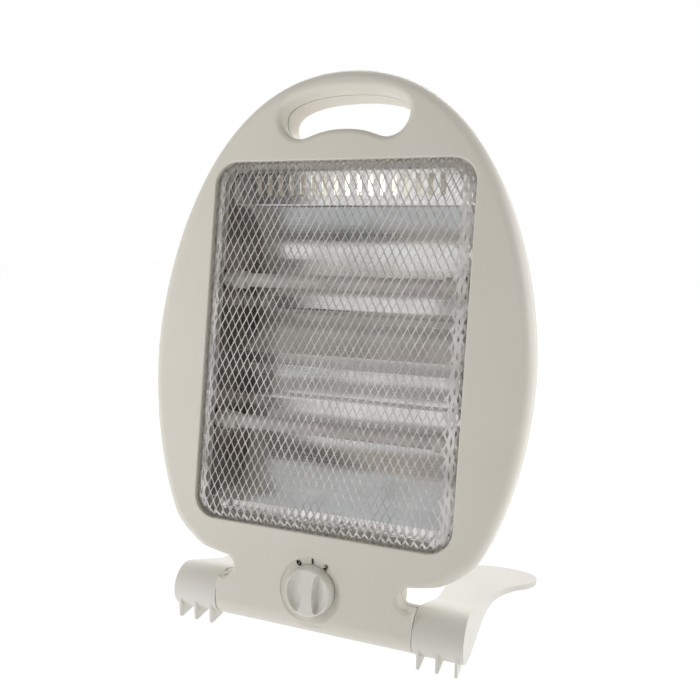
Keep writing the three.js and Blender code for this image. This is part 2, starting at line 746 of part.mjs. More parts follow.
/** Winding on its core, with a pin out of each end. */
function heatingElement() {
  const pinEnd = terminalStart + TERMINAL_LENGTH - 1;
  const coilHalf = capInner - 4;
  return turnedX(
    [
      [-pinEnd, 0],
      [-pinEnd, PIN_RADIUS],
      [-coilHalf, PIN_RADIUS],
      [-coilHalf, coilRadius],
      [coilHalf, coilRadius],
      [coilHalf, PIN_RADIUS],
      [pinEnd, PIN_RADIUS],
      [pinEnd, 0],
    ],
    10,
  );
}

/** Right ceramic cap: a socket for the tube and a neck through the end plate. */
function endCap() {
  const seat = tubeHalf + GAP;
  const bore = PIN_RADIUS + 0.5;
  return turnedX(
    [
      [capInner, TUBE_RADIUS + GAP],
      [capInner, capRadius],
      [reflectorHalf, capRadius],
      [reflectorHalf, CAP_NECK],
      [terminalStart - GAP, CAP_NECK],
      [terminalStart - GAP, bore],
      [seat, bore],
      [seat, TUBE_RADIUS + GAP],
      [capInner, TUBE_RADIUS + GAP],
    ],
    12,
  );
}

/** Right terminal sleeve on the element's pin. */
const terminal = () =>
  turnedX(
    [
      [terminalStart, PIN_RADIUS + GAP],
      [terminalStart, TERMINAL_RADIUS],
      [terminalStart + TERMINAL_LENGTH, TERMINAL_RADIUS],
      [terminalStart + TERMINAL_LENGTH, PIN_RADIUS + GAP],
      [terminalStart, PIN_RADIUS + GAP],
    ],
    10,
  );

/** Right spring clip round the ceramic cap, open to the front with turned-out ends. */
function tubeClip() {
  const ringInner = capRadius + GAP;
  const ringOuter = ringInner + CLIP_SHEET;
  const [left, right] = [reflectorHalf - CLIP_WIDTH - 3, reflectorHalf - 3];
  const mouth = THREE.MathUtils.degToRad(40);
  const arc = (radius, from, to) =>
    Array.from({ length: 13 }, (_, i) => {
      const angle = from + ((to - from) * i) / 12;
      return [-radius * Math.cos(angle), radius * Math.sin(angle)];
    });
  const lip = (radius, sign) => [-radius * Math.cos(mouth) - 2.4, sign * (radius * Math.sin(mouth) - 0.2)];
  const profile = [
    lip(ringInner, 1),
    ...arc(ringInner, mouth, 2 * Math.PI - mouth),
    lip(ringInner, -1),
    lip(ringOuter, -1),
    ...arc(ringOuter, 2 * Math.PI - mouth, mouth),
    lip(ringOuter, 1),
  ];
  return bar(profile, left, right);
}

// ---- Knob and switch, on the knob's axis with depth along y ------------------------------------------
const dialFloor = DIAL_DEPTH;
const switchFront = DIAL_DEPTH + WALL + GAP;

/** Control knob: a disc with two scooped pockets that leave a grip across it, hollow behind. */
function knob() {
  const back = dialFloor - 0.6;
  const front = -KNOB_PROUD;
  const disc = turnedY(
    [
      [back, 0],
      [back, KNOB_RADIUS],
      [front + 1.2, KNOB_RADIUS - 0.5],
      [front + 0.3, KNOB_RADIUS - 0.9],
      [front, KNOB_RADIUS - 1.6],
      [front, 0],
    ].reverse(),
    32,
  );
  const pocketFloor = front + KNOB_POCKET;
  const pockets = cut(
    turnedY(
      [
        [front - 1, 0],
        [front - 1, KNOB_RADIUS - 1.8],
        [front, KNOB_RADIUS - KNOB_SKIRT],
        [pocketFloor, KNOB_RADIUS - 3.4],
        [pocketFloor, 0],
      ],
      24,
    ),
    block([-KNOB_GRIP / 2, front - 2, -KNOB_RADIUS], [KNOB_GRIP / 2, pocketFloor + 1, KNOB_RADIUS]),
  );
  const hollow = turnedY(
    [
      [pocketFloor + 1.8, KNOB_GRIP / 2],
      [pocketFloor + 1.8, KNOB_RADIUS - KNOB_SKIRT],
      [back + 1, KNOB_RADIUS - KNOB_SKIRT],
      [back + 1, KNOB_GRIP / 2],
      [pocketFloor + 1.8, KNOB_GRIP / 2],
    ],
    16,
  );
  const socket = rod("y", SHAFT_RADIUS + GAP, pocketFloor + 0.6, back + 1);
  return cut(disc, pockets, hollow, socket);
}

const shaftFront = -KNOB_PROUD + KNOB_POCKET + 0.9;
const shaftBack = switchFront + 5;
const switchShaft = () => rod("y", SHAFT_RADIUS, shaftFront, shaftBack);

/** Rotary switch: body with three blades behind it. */
function rotarySwitch() {
  const half = SWITCH_SIZE / 2;
  const back = switchFront + SWITCH_DEPTH;
  const body = block([-half, switchFront, -half], [half, back, half]);
  const blades = [-7, 0, 7].map((x) => block([x - 2.4, back - 0.5, 3], [x + 2.4, back + 4.2, 3.8]));
  const bore = rod("y", SHAFT_RADIUS + GAP, switchFront - 1, shaftBack + GAP);
  const pilots = [-1, 1].map((side) =>
    rod("y", SCREW_RADIUS + GAP, switchFront - 1, switchFront + 6, side * switchScrewOffset, 0, 10),
  );
  return cut(join(body, ...blades), bore, ...pilots);
}

/** Pan-head screw along y, with its head at the front and its point behind. */
const screw = (headFront, headBack, tip, radius = SCREW_RADIUS, head = SCREW_HEAD) =>
  turnedY(
    [
      [headFront, 0],
      [headFront, head - 0.5],
      [headFront + 0.5 * Math.sign(headBack - headFront), head],
      [headBack, head],
      [headBack, radius],
      [tip, radius],
      [tip, 0],
    ],
    12,
  );

/** Screw through the dial's floor into the switch. */
const switchScrew = () => screw(dialFloor - GAP - 1.4, dialFloor - GAP, switchFront + 5, SCREW_RADIUS, 2.5);

/** Shell screw, driven from the back. */
function shellScrew(back) {
  const seat = back - WELL_DEPTH;
  const head = seat + GAP + SCREW_HEAD_HEIGHT;
  return turnedY(
    [
      [bossSplit - SCREW_BITE + 1, 0],
      [bossSplit - SCREW_BITE + 1, SCREW_RADIUS],
      [seat + GAP, SCREW_RADIUS],
      [seat + GAP, SCREW_HEAD],
      [head - 0.5, SCREW_HEAD],
      [head, SCREW_HEAD - 0.6],
      [head, 0],
    ],
    10,
  );
}

// ---- Parts in the neck -------------------------------------------------------------------------------
/** Frame of the tilt switch: two cheeks and a bridge, open below, fixed to the face's inside. */
function tiltFrame() {
  const half = TILT_WIDTH / 2;
  const top = TILT_PIN_HEIGHT + 5;
  const bottom = TILT_PIN_HEIGHT - TILT_ARM - 2;
  const [front, back] = [WALL + GAP, TILT_PIN_DEPTH + 6];
  const cheeks = [-1, 1].map((side) =>
    block(
      [tiltX + side * half - 0.8, front, bottom],
      [tiltX + side * half + 0.8, back, top],
    ),
  );
  const bridge = block([tiltX - half, front, top - 1.6], [tiltX + half, back, top]);
  const plate = block([tiltX - half, front, bottom], [tiltX + half, front + 1.2, top]);
  const hole = rod("x", 1.3, tiltX - half - 2, tiltX + half + 2, TILT_PIN_DEPTH, TILT_PIN_HEIGHT, 10);
  return cut(join(...cheeks, bridge, plate), hole);
}

/** Pin across the frame. */
function tiltPin() {
  const half = TILT_WIDTH / 2 + 1.6;
  return rod("x", 1, tiltX - half, tiltX + half, TILT_PIN_DEPTH, TILT_PIN_HEIGHT, 10);
}

/** Weight that hangs plumb from the pin, about its own axis: an eye, an arm and a round bob. */
function tiltWeight() {
  const half = TILT_WIDTH / 2 - 0.8 - RUNNING_GAP;
  const eye = rod("x", 2.6, -half + 1, half - 1, 0, 0, 12);
  const arm = block([-1.2, -1.2, -TILT_ARM + 2], [1.2, 1.2, 0]);
  const bob = rod("x", TILT_WEIGHT_RADIUS, -half, half, 0, -TILT_ARM + TILT_WEIGHT_RADIUS, 14);
  return cut(join(eye, arm, bob), rod("x", 1 + GAP, -half - 1, half + 1, 0, 0, 10));
}

/** Small switch on the outside of the frame that the weight works. */
function tiltMicroswitch() {
  const x = tiltX + TILT_WIDTH / 2 + 0.8 + GAP;
  const front = WALL + GAP + 2;
  const body = block([x, front, TILT_PIN_HEIGHT - 14], [x + 6, front + 12, TILT_PIN_HEIGHT - 6]);
  const blades = [5, 10].map((y) =>
    block([x + 2, y, TILT_PIN_HEIGHT - 6.2], [x + 4, y + 3, TILT_PIN_HEIGHT - 2.5]),
  );
  return join(body, ...blades);
}

/** Terminal block for the supply, with a bore for each wire and a screw hole over it. */
function terminalBlock() {
  const [width, depth, height] = BLOCK_SIZE;
  const front = WALL + GAP;
  const body = block(
    [BLOCK_X - width / 2, front, BLOCK_HEIGHT - height / 2],
    [BLOCK_X + width / 2, front + depth, BLOCK_HEIGHT + height / 2],
  );
  const bores = [-6, 0, 6].flatMap((offset) => [
    rod("z", 1.6, BLOCK_HEIGHT - height, BLOCK_HEIGHT + height, BLOCK_X + offset, front + depth / 2, 10),
    rod("y", 1.3, front + depth / 2, front + depth + 1, BLOCK_X + offset, BLOCK_HEIGHT, 8),
  ]);
  return cut(body, ...bores);
}

/** Bush in the back of the neck, where the supply lead enters. */
const inletBush = () =>
  turnedY(
    [
      [NECK_DEPTH - WALL - 4, BUSH_BORE],
      [NECK_DEPTH - WALL - 4, BUSH_RADIUS],
      [NECK_DEPTH + GAP, BUSH_RADIUS],
      [NECK_DEPTH + GAP, BUSH_RADIUS + 2.2],
      [NECK_DEPTH + GAP + 1.4, BUSH_RADIUS + 2.2],
      [NECK_DEPTH + GAP + 2, BUSH_RADIUS + 1.4],
      [NECK_DEPTH + GAP + 2, BUSH_BORE],
      [NECK_DEPTH - WALL - 4, BUSH_BORE],
    ],
    14,
  );

/** Disc thermostat on the back of the upper trough. */
function thermalCutout() {
  const back = TROUGH_DEPTH + SHEET + GAP;
  const disc = turnedY(
    [
      [back, 0],
      [back, 9],
      [back + 1, 9],
      [back + 1, 7.5],
      [back + 6, 7.5],
      [back + 6, 0],
    ],
    14,
  );
  const blades = [-4, 4].map((x) => block([x - 1.8, back + 5.5, -0.4], [x + 1.8, back + 9, 0.4]));
  return join(disc, ...blades);
}

// ---- Feet, in the hub's own frame: y back from the hub axis, z up from it -----------------------------
const floor = -hubHeight;

/** Side profile of the right foot as [y, z], drawn in by a wall thickness. */
function footProfile(inset, skirt) {
  const radius = HUB_RADIUS - inset;
  const back = FOOT_REACH - inset;
  const tangent = THREE.MathUtils.degToRad(66);
  const kneeTop = floor + FOOT_KNEE_HEIGHT - inset;
  const toe = floor + FOOT_TOE - inset;
  const top = new THREE.CubicBezierCurve(
    new THREE.Vector2(FOOT_KNEE, kneeTop),
    new THREE.Vector2(FOOT_KNEE + 14, kneeTop - 6.1),
    new THREE.Vector2(FOOT_KNEE + 34, toe + 1.5),
    new THREE.Vector2(back, toe),
  );
  const arc = Array.from({ length: 11 }, (_, i) => {
    const angle = THREE.MathUtils.lerp(1.42 * Math.PI, tangent, i / 10);
    return [radius * Math.cos(angle), radius * Math.sin(angle)];
  });
  const bottom = floor + skirt;
  return [...arc, ...top.getPoints(5).map((p) => [p.x, p.y]), [back, bottom], [10, bottom]];
}

/** Plan of the right foot in x and y: straight beside the hub, then flaring out to a rounded end. */
function footPlan(inset) {
  const [left, right] = [footInner + inset, footOuter - inset];
  const [front, back] = [-HUB_RADIUS - 2 + 2 * inset, FOOT_REACH - inset];
  const plan = new THREE.Shape();
  plan.moveTo(left, front);
  plan.lineTo(right, front);
  plan.lineTo(right, 0.4 * FOOT_REACH);
  plan.bezierCurveTo(
    right,
    0.62 * FOOT_REACH,
    right + 6,
    0.7 * FOOT_REACH,
    right + 0.55 * FOOT_FLARE,
    0.78 * FOOT_REACH,
  );
  plan.bezierCurveTo(
    right + 0.8 * FOOT_FLARE,
    0.82 * FOOT_REACH,
    right + 1.1 * FOOT_FLARE,
    0.87 * FOOT_REACH,
    right + 0.9 * FOOT_FLARE,
    back - 0.05 * FOOT_REACH,
  );
  plan.bezierCurveTo(
    right + 0.6 * FOOT_FLARE,
    back,
    right - 0.1 * FOOT_FLARE,
    back + 0.01 * FOOT_REACH,
    left + 0.35 * FOOT_WIDTH,
    back - 0.05 * FOOT_REACH,
  );
  plan.bezierCurveTo(
    left,
    back - 0.1 * FOOT_REACH,
    left,
    back - 0.16 * FOOT_REACH,
    left,
    back - 0.3 * FOOT_REACH,
  );
  return plan;
}

/** A plan in x and y, extruded upwards. */
function upright(shape, bottom, top) {
  const settings = { depth: top - bottom, bevelEnabled: false, curveSegments: 4 };
  const geometry = new THREE.ExtrudeGeometry(shape, settings);
  return solid(geometry.translate(0, 0, bottom));
}

/** Right foot: a hollow moulding open below, with fins that stand on the floor and a bore for the spigot. */
function foot() {
  const reachX = footOuter + FOOT_FLARE + 9;
  const shell = bar(footProfile(0, FOOT_SKIRT_CLEAR), footInner, reachX).intersect(
    upright(footPlan(0), floor, HUB_RADIUS + 1),
  );
  const hollow = bar(footProfile(FOOT_WALL, -3), footInner, reachX).intersect(
    upright(footPlan(FOOT_WALL), floor - 3, HUB_RADIUS + 1),
  );
  const centre = (footInner + footOuter) / 2;
  const fins = [-1, 0, 1].map((place) => {
    const x = centre + place * FIN_PITCH;
    const profile = [
      [-HUB_RADIUS + 0.4, 0],
      [-HUB_RADIUS + 0.4, floor + 1],
      [-HUB_RADIUS + 1.4, floor],
      [FIN_REACH, floor],
      [FIN_REACH, 0],
    ];
    return bar(profile, x - FIN_THICKNESS / 2, x + FIN_THICKNESS / 2);
  });
  const webs = [-1, 0, 1].map((place) => {
    const x = centre + place * FIN_PITCH;
    return block(
      [x - FIN_THICKNESS / 2, -HUB_RADIUS, floor + FOOT_SKIRT_CLEAR],
      [x + FIN_THICKNESS / 2, 0.8 * FOOT_REACH, HUB_RADIUS],
    );
  });
  const inside = join(...webs).intersect(bar(footProfile(0.5, FOOT_SKIRT_CLEAR), footInner, reachX));
  const toes = [0.15, 0.8].map((share) => {
    const x = THREE.MathUtils.lerp(footInner + 6, footOuter + 0.7 * FOOT_FLARE, share);
    return block([x - 5, 0.83 * FOOT_REACH, floor], [x + 5, 0.83 * FOOT_REACH + 8, floor + FOOT_TOE - 1]);
  });
  const boss = rod("x", SPIGOT_RADIUS + RUNNING_GAP + 2, footInner, footOuter - FOOT_WALL, 0, 0, 16);
  const bore = rod("x", SPIGOT_RADIUS + RUNNING_GAP, footInner - 1, footOuter - FOOT_WALL - 1, 0, 0, 16);
  const clipRoom = rod("x", clipOuter + RUNNING_GAP, clipStart - 0.6, footOuter - FOOT_WALL - 1, 0, 0, 16);
  return cut(join(cut(shell, hollow), ...fins, inside, boss, ...toes), bore, clipRoom);
}

/** Right spigot: flanged inside the bar, with a groove for its circlip. */
function spigot() {
  const wallInside = BAR_HALF_LENGTH - WALL;
  const end = footOuter - FOOT_WALL - 3;
  const groove = SPIGOT_RADIUS - 1;
  return turnedX(
    [
      [wallInside - 5, 0],
      [wallInside - 5, SPIGOT_FLANGE],
      [wallInside - GAP, SPIGOT_FLANGE],
      [wallInside - GAP, SPIGOT_RADIUS],
      [clipStart, SPIGOT_RADIUS],
      [clipStart, groove],
      [clipStart + 2, groove],
      [clipStart + 2, SPIGOT_RADIUS],
      [end - 1, SPIGOT_RADIUS],
      [end, SPIGOT_RADIUS - 1],
      [end, 0],
    ],
    12,
  );
}

/** Right circlip in the spigot's groove, split at the bottom. */
function circlip() {
  const ring = turnedX(
    [
      [clipStart + GAP, SPIGOT_RADIUS - 1 + GAP],
      [clipStart + GAP, clipOuter],
      [clipStart + 2 - GAP, clipOuter],
      [clipStart + 2 - GAP, SPIGOT_RADIUS - 1 + GAP],
      [clipStart + GAP, SPIGOT_RADIUS - 1 + GAP],
    ],
    16,
  );
  return cut(ring, block([clipStart - 1, -1.5, -clipOuter - 1], [clipStart + 3, 1.5, 0]));
}

// ---- Leads inside the casing -------------------------------------------------------------------------
/** An insulated lead along points in the casing's frame. */
function lead(points, steps) {
  const path = new THREE.CatmullRomCurve3(
    points.map(([x, y, z]) => new THREE.Vector3(x, y, z)),
    false,
    "centripetal",
  );
  const ring = new THREE.Shape(
    Array.from({ length: 5 }, (_, i) => {
      const angle = 0.4 * Math.PI * i;
      return new THREE.Vector2(LEAD_RADIUS * Math.cos(angle), LEAD_RADIUS * Math.sin(angle));
    }),
  );
  return solid(new THREE.ExtrudeGeometry(ring, { steps, extrudePath: path, bevelEnabled: false }));
}

// ---- Assembly ----------------------------------------------------------------------------------------
/** A named mesh of a solid, added to a group at a place. */
function add(group, name, body, material, place = [0, 0, 0]) {
  const mesh = new THREE.Mesh(geometryOf(body), material);
  mesh.name = name;
  mesh.position.set(...place);
  group.add(mesh);
  return mesh;
}

const heater = new THREE.Group();

const casing = new THREE.Group(); // about the hub axis, leaning back
casing.rotation.x = -LEAN;
casing.position.z = hubHeight;
heater.add(casing);

const face = new THREE.Group(); // x across, y depth behind the face, z height up the face
face.position.set(0, -BAR_RADIUS, -HUB_ON_FACE);
casing.add(face);

add(face, "front_shell", frontShell(), IVORY);
add(face, "rear_shell", rearShell(), WHITE);
add(face, "guard", guard(), STEEL);
add(face, "reflector_frame", reflectorFrame(), STEEL);
add(face, "reflector", reflector(), MIRROR);

const plate = endPlate();
add(face, "right_end_plate", plate, STEEL);
add(face, "left_end_plate", mirrored(plate), STEEL);

for (const [level, height] of [["upper", upperTube], ["lower", lowerTube]]) {
  const place = [0, TUBE_DEPTH, height];
  add(face, `${level}_quartz_tube`, quartzTube(), QUARTZ, place);
  add(face, `${level}_heating_element`, heatingElement(), WIRE, place);
  for (const side of ["left", "right"]) {
    const onSide = (body) => (side === "left" ? mirrored(body) : body);
    add(face, `${level}_${side}_end_cap`, onSide(endCap()), CERAMIC, place);
    add(face, `${level}_${side}_tube_clip`, onSide(tubeClip()), STEEL, place);
    add(face, `${level}_${side}_terminal`, onSide(terminal()), BRASS, place);
  }
}

const knobPlace = [0, 0, KNOB_HEIGHT];
add(face, "control_knob", knob(), WHITE, knobPlace);
add(face, "switch_shaft", switchShaft(), STEEL, knobPlace);
add(face, "rotary_switch", rotarySwitch(), BLACK, knobPlace);
add(face, "left_switch_screw", switchScrew(), STEEL, [-switchScrewOffset, 0, KNOB_HEIGHT]);
add(face, "right_switch_screw", switchScrew(), STEEL, [switchScrewOffset, 0, KNOB_HEIGHT]);

for (const { name, x, z, back } of everyScrew) add(face, name, shellScrew(back), STEEL, [x, 0, z]);

add(face, "tilt_switch_frame", tiltFrame(), STEEL);
add(face, "tilt_switch_pin", tiltPin(), STEEL);
add(face, "tilt_microswitch", tiltMicroswitch(), BLACK);
const plumb = add(face, "tilt_weight", tiltWeight(), BRASS, [tiltX, TILT_PIN_DEPTH, TILT_PIN_HEIGHT]);
plumb.rotation.x = LEAN;

add(face, "terminal_block", terminalBlock(), WHITE);
add(face, "thermal_cutout", thermalCutout(), BLACK, [0, 0, upperTube]);
add(face, "cord_inlet_bush", inletBush(), BLACK, [BUSH_X, 0, bushHeight]);

// Leads: up the left side from the switch to each tube, up the right side from the block to both tubes
const channel = plateOuter + 9;
const corner = plateOuter + 4; // clear of the end plate's foot
const terminalEnd = terminalStart + TERMINAL_LENGTH + LEAD_RADIUS + GAP;
const crossing = WINDOW_SILL - 9;
const switchBack = switchFront + SWITCH_DEPTH;
const upperTubePath = [
  [-7, switchBack + 6, KNOB_HEIGHT + 4],
  [-20, 24, KNOB_HEIGHT + 14],
  [-60, 24, crossing],
  [-corner, 24, crossing + 5],
  [-channel, 25, crossing + 30],
  [-terminalEnd - 4, 25, lowerTube],
  [-terminalEnd - 2, 23, upperTube - 20],
  [-terminalEnd, TUBE_DEPTH, upperTube],
];
add(face, "upper_tube_lead", lead(upperTubePath, 18), LEAD_BROWN);
const lowerTubePath = [
  [-2, switchBack + 7, KNOB_HEIGHT + 6],
  [-16, 20, KNOB_HEIGHT + 18],
  [-60, 18, crossing],
  [-corner, 19, crossing + 5],
  [-channel + 2, 20, crossing + 26],
  [-terminalEnd, TUBE_DEPTH, lowerTube],
];
add(face, "lower_tube_lead", lead(lowerTubePath, 15), LEAD_BROWN);
const returnPath = [
  [BLOCK_X + 6, 12, BLOCK_HEIGHT + 8],
  [BLOCK_X + 4, 22, barTop + 17],
  [66, 22, crossing],
  [corner, 22, crossing + 5],
  [channel, 24, crossing + 30],
  [terminalEnd, TUBE_DEPTH, lowerTube + 1],
  [terminalEnd + 2, TUBE_DEPTH + 1, ridge],
  [terminalEnd, TUBE_DEPTH, upperTube],
];
add(face, "return_lead", lead(returnPath, 20), LEAD_BLUE);

const feet = new THREE.Group(); // about the hub axis, level
feet.position.z = hubHeight;
heater.add(feet);
for (const side of ["left", "right"]) {
  const onSide = (body) => (side === "left" ? mirrored(body) : body);
  add(feet, `${side}_foot`, onSide(foot()), WHITE);
  add(feet, `${side}_hub_spigot`, onSide(spigot()), WHITE);
  add(feet, `${side}_hub_circlip`, onSide(circlip()), STEEL);
}

// The origin is on the floor, in the middle of the heater's footprint
const reach = new THREE.Box3().setFromObject(heater, true);
heater.position.set(0, -(reach.min.y + reach.max.y) / 2, -reach.min.z);
const part = new THREE.Group();
part.add(heater);

export default part;
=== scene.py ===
"""A free-standing two-tube quartz heater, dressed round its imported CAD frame.

Pieces of the casing are shaped in millimetres as (x across, depth behind the face, height up the face), and
the feet as (x across, back from the hub axis, up from it). They are then placed in the heater's frame in
metres, where +Z is up and +Y is the heater's back.
"""

from __future__ import annotations

import json
import logging
import math
import random
from dataclasses import dataclass
from enum import Enum
from typing import Callable, Iterable, Sequence

import bmesh
import bpy
from mathutils import Matrix, Vector


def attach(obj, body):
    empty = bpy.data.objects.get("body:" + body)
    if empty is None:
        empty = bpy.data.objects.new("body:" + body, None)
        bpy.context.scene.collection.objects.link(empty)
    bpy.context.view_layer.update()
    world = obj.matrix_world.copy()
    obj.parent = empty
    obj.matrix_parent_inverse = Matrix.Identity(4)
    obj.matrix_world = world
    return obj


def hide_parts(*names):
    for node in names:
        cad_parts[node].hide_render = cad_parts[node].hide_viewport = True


LOG = logging.getLogger("heater")
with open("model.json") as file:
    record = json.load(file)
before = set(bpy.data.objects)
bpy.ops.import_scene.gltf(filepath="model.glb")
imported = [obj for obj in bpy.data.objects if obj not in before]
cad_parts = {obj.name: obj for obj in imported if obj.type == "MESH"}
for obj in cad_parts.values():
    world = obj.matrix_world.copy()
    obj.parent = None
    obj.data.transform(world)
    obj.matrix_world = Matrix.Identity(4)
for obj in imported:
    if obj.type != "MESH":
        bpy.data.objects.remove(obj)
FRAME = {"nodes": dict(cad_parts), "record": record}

Flat = tuple[float, float]
Point = tuple[float, float, float]
Colour = tuple[float, float, float]
Levels = tuple[int, int, int]  # a screen colour, 0 to 255
Ramp = tuple[float, float, float, float]  # a range, and the range that it is mapped to
EdgedLoop = tuple[list[Flat], list[float]]  # an outline, and the rounding at each of its points
Piece = bpy.types.Object
Socket = bpy.types.NodeSocket

MM = 0.001
QUARTER_TURN = math.pi / 2
OVERLAP = 1.0  # how far a cutting body runs past what it cuts
SLIVER = 0.01  # the least distance between two rings
AROUND_LOW = (-200.0, -60.0, -60.0)  # corners of a box round the whole casing
AROUND_HIGH = (200.0, 120.0, 460.0)


class Operation(Enum):
    """How a body takes in another."""

    JOIN = "UNION"
    CUT = "DIFFERENCE"
    KEEP = "INTERSECT"


class Axis(Enum):
    """The axis that a round body is turned about."""

    ACROSS = "x"
    THROUGH = "y"


class Side(Enum):
    """A side of the heater, seen from the front."""

    LEFT = "left"
    RIGHT = "right"

    @property
    def sign(self) -> int:
        """Which way the side lies along x."""
        return -1 if self is Side.LEFT else 1


class Level(Enum):
    """Which of the two tubes."""

    UPPER = "upper"
    LOWER = "lower"


# ---- Places ----
@dataclass(frozen=True)
class Posture:
    """How the casing leans back over the axis of its feet."""

    lean: float = math.radians(11.2)
    hub_back: float = -55.54252
    hub_up: float = 19.4
    hub_depth: float = 15.0
    hub_on_face: float = 22.8

    def feet(self) -> Matrix:
        """Places a body made about the hub axis."""
        return Matrix.Scale(MM, 4) @ Matrix.Translation((0, self.hub_back, self.hub_up))

    def casing(self) -> Matrix:
        """Places a body made behind and up the face."""
        turn = Matrix.Rotation(-self.lean, 4, "X")
        return self.feet() @ turn @ Matrix.Translation((0, -self.hub_depth, -self.hub_on_face))


POSTURE = Posture()


# ---- Shaping ----
def linked(name: str, data: bpy.types.ID) -> Piece:
    """Makes an object of some data and puts it in the scene.

    Args:
        name: Its name.
        data: The data.

    Returns:
        The object.
    """
    piece = bpy.data.objects.new(name, data)
    bpy.context.scene.collection.objects.link(piece)
    return piece


def body_of(points: Iterable[Point], faces: Iterable[Sequence[int]], name: str = "body") -> Piece:
    """Makes an object of points and faces, with its faces turned outwards.

    Args:
        points: Corners in millimetres.
        faces: Corner numbers of each face.
        name: Name of the object.

    Returns:
        The new object, linked to the scene.
    """
    mesh = bpy.data.meshes.new(name)
    mesh.from_pydata(list(points), [], [list(face) for face in faces])
    shaper = bmesh.new()
    shaper.from_mesh(mesh)
    bmesh.ops.recalc_face_normals(shaper, faces=shaper.faces)
    shaper.to_mesh(mesh)
    shaper.free()
    return linked(name, mesh)


def discard(piece: Piece) -> None:
    """Removes an object and its mesh.

    Args:
        piece: The body.
    """
    mesh = piece.data
    bpy.data.objects.remove(piece)
    bpy.data.meshes.remove(mesh)


def evaluated(piece: Piece) -> bpy.types.Mesh:
    """A new mesh of an object with its modifiers applied."""
    graph = bpy.context.evaluated_depsgraph_get()
    return bpy.data.meshes.new_from_object(piece.evaluated_get(graph), depsgraph=graph)


def settle(piece: Piece) -> Piece:
    """Applies an object's modifiers to its mesh.

    Args:
        piece: The body.

    Returns:
        The same object.
    """
    mesh, old = evaluated(piece), piece.data
    piece.modifiers.clear()
    piece.data = mesh
    bpy.data.meshes.remove(old)
    return piece


def combine(base: Piece, operation: Operation, *tools: Piece) -> Piece:
    """Joins, cuts or keeps a body with others, which are used up.

    Args:
        base: The body that changes.
        operation: What is done with each tool.
        tools: The other bodies.

    Returns:
        The changed body.
    """
    for tool in tools:
        modifier = base.modifiers.new("combine", "BOOLEAN")
        modifier.operation = operation.value
        modifier.solver = "MANIFOLD"
        modifier.object = tool
    settle(base)
    for tool in tools:
        discard(tool)
    return base


def loft(rings: Sequence[Sequence[Point]], closed: bool = False) -> Piece:
    """Joins rings with the same count of points into a closed skin.

    Args:
        rings: The rings, in order.
        closed: Whether the last ring meets the first, in place of two end faces.

    Returns:
        The new body.
    """
    count = len(rings[0])
    points = [point for ring in rings for point in ring]
    faces: list[Sequence[int]] = []
    spans = len(rings) if closed else len(rings) - 1
    for row in range(spans):
        near, far = row * count, (row + 1) % len(rings) * count
        for i in range(count):
            j = (i + 1) % count
            faces.append((near + i, near + j, far + j, far + i))
    if not closed:
        faces.append(range(count))
        faces.append(range(len(points) - count, len(points)))
    return body_of(points, faces)


def slab(outline: Sequence[Flat], near: float, far: float) -> Piece:
    """Extrudes an outline on the face from one depth to another."""
    return loft([[(x, depth, height) for x, height in outline] for depth in (near, far)])


def beam(profile: Sequence[Flat], left: float, right: float) -> Piece:
    """Extrudes a profile of (depth, height) points across."""
    return loft([[(x, y, z) for y, z in profile] for x in (left, right)])


def upright(outline: Sequence[Flat], bottom: float, top: float) -> Piece:
    """Extrudes a plan of (x, back) points upwards."""
    return loft([[(x, y, z) for x, y in outline] for z in (bottom, top)])


def block(low: Point, high: Point) -> Piece:
    """Makes a box between two corners."""
    corners = [(low[0], low[2]), (high[0], low[2]), (high[0], high[2]), (low[0], high[2])]
    return slab(corners, low[1], high[1])


def circle(sides: int) -> list[Flat]:
    """Cosines and sines of equal steps round a circle."""
    angles = (2 * math.pi * i / sides for i in range(sides))
    return [(math.cos(angle), math.sin(angle)) for angle in angles]


def turned(profile: Sequence[Flat], axis: Axis, centre: Flat, sides: int, closed: bool = False) -> Piece:
    """Turns a profile of (along, radius) points round an axis.

    Args:
        profile: Points from end to end of a solid, or round the section of a hollow one.
        axis: The axis.
        centre: Where the axis is: (depth, height) for one across, and (x, height) for one through the heater.
        sides: How many sides the turning has.
        closed: Whether the profile goes round the section of a hollow body.

    Returns:
        The new body.
    """
    rings = []
    for along, radius in profile:
        ring = [(centre[0] + radius * cosine, centre[1] + radius * sine) for cosine, sine in circle(sides)]
        rings.append([(along, a, b) if axis is Axis.ACROSS else (a, along, b) for a, b in ring])
    return loft(rings, closed)


def rod(axis: Axis, radius: float, span: Flat, centre: Flat = (0.0, 0.0), sides: int = 48) -> Piece:
    """Makes a round rod along an axis, from one end of a span to the other."""
    return turned([(span[0], radius), (span[1], radius)], axis, centre, sides)


def tube_along(path: Sequence[Vector], radius: float, sides: int) -> Piece:
    """Makes a round wire along a path.

    Args:
        path: The path's points.
        radius: The wire's radius.
        sides: Sides of the wire.

    Returns:
        The new body.
    """
    rings = []
    across = Vector((0.0, 0.0, 1.0))
    for i, here in enumerate(path):
        before, after = path[max(i - 1, 0)], path[min(i + 1, len(path) - 1)]
        along = (after - before).normalized()
        across = (across - along * across.dot(along)).normalized()
        third = along.cross(across)
        rings.append([tuple(here + across * radius * c + third * radius * s) for c, s in circle(sides)])
    return loft(rings)


def mirrored(piece: Piece) -> Piece:
    """Mirrors a body to the other side of the heater.

    Args:
        piece: The body.

    Returns:
        The same body.
    """
    piece.data.transform(Matrix.Scale(-1, 4, (1, 0, 0)))
    piece.data.flip_normals()
    return piece


def on_side(piece: Piece, side: Side) -> Piece:
    """Leaves a body that was made on the right, or mirrors it to the left."""
    return mirrored(piece) if side is Side.LEFT else piece


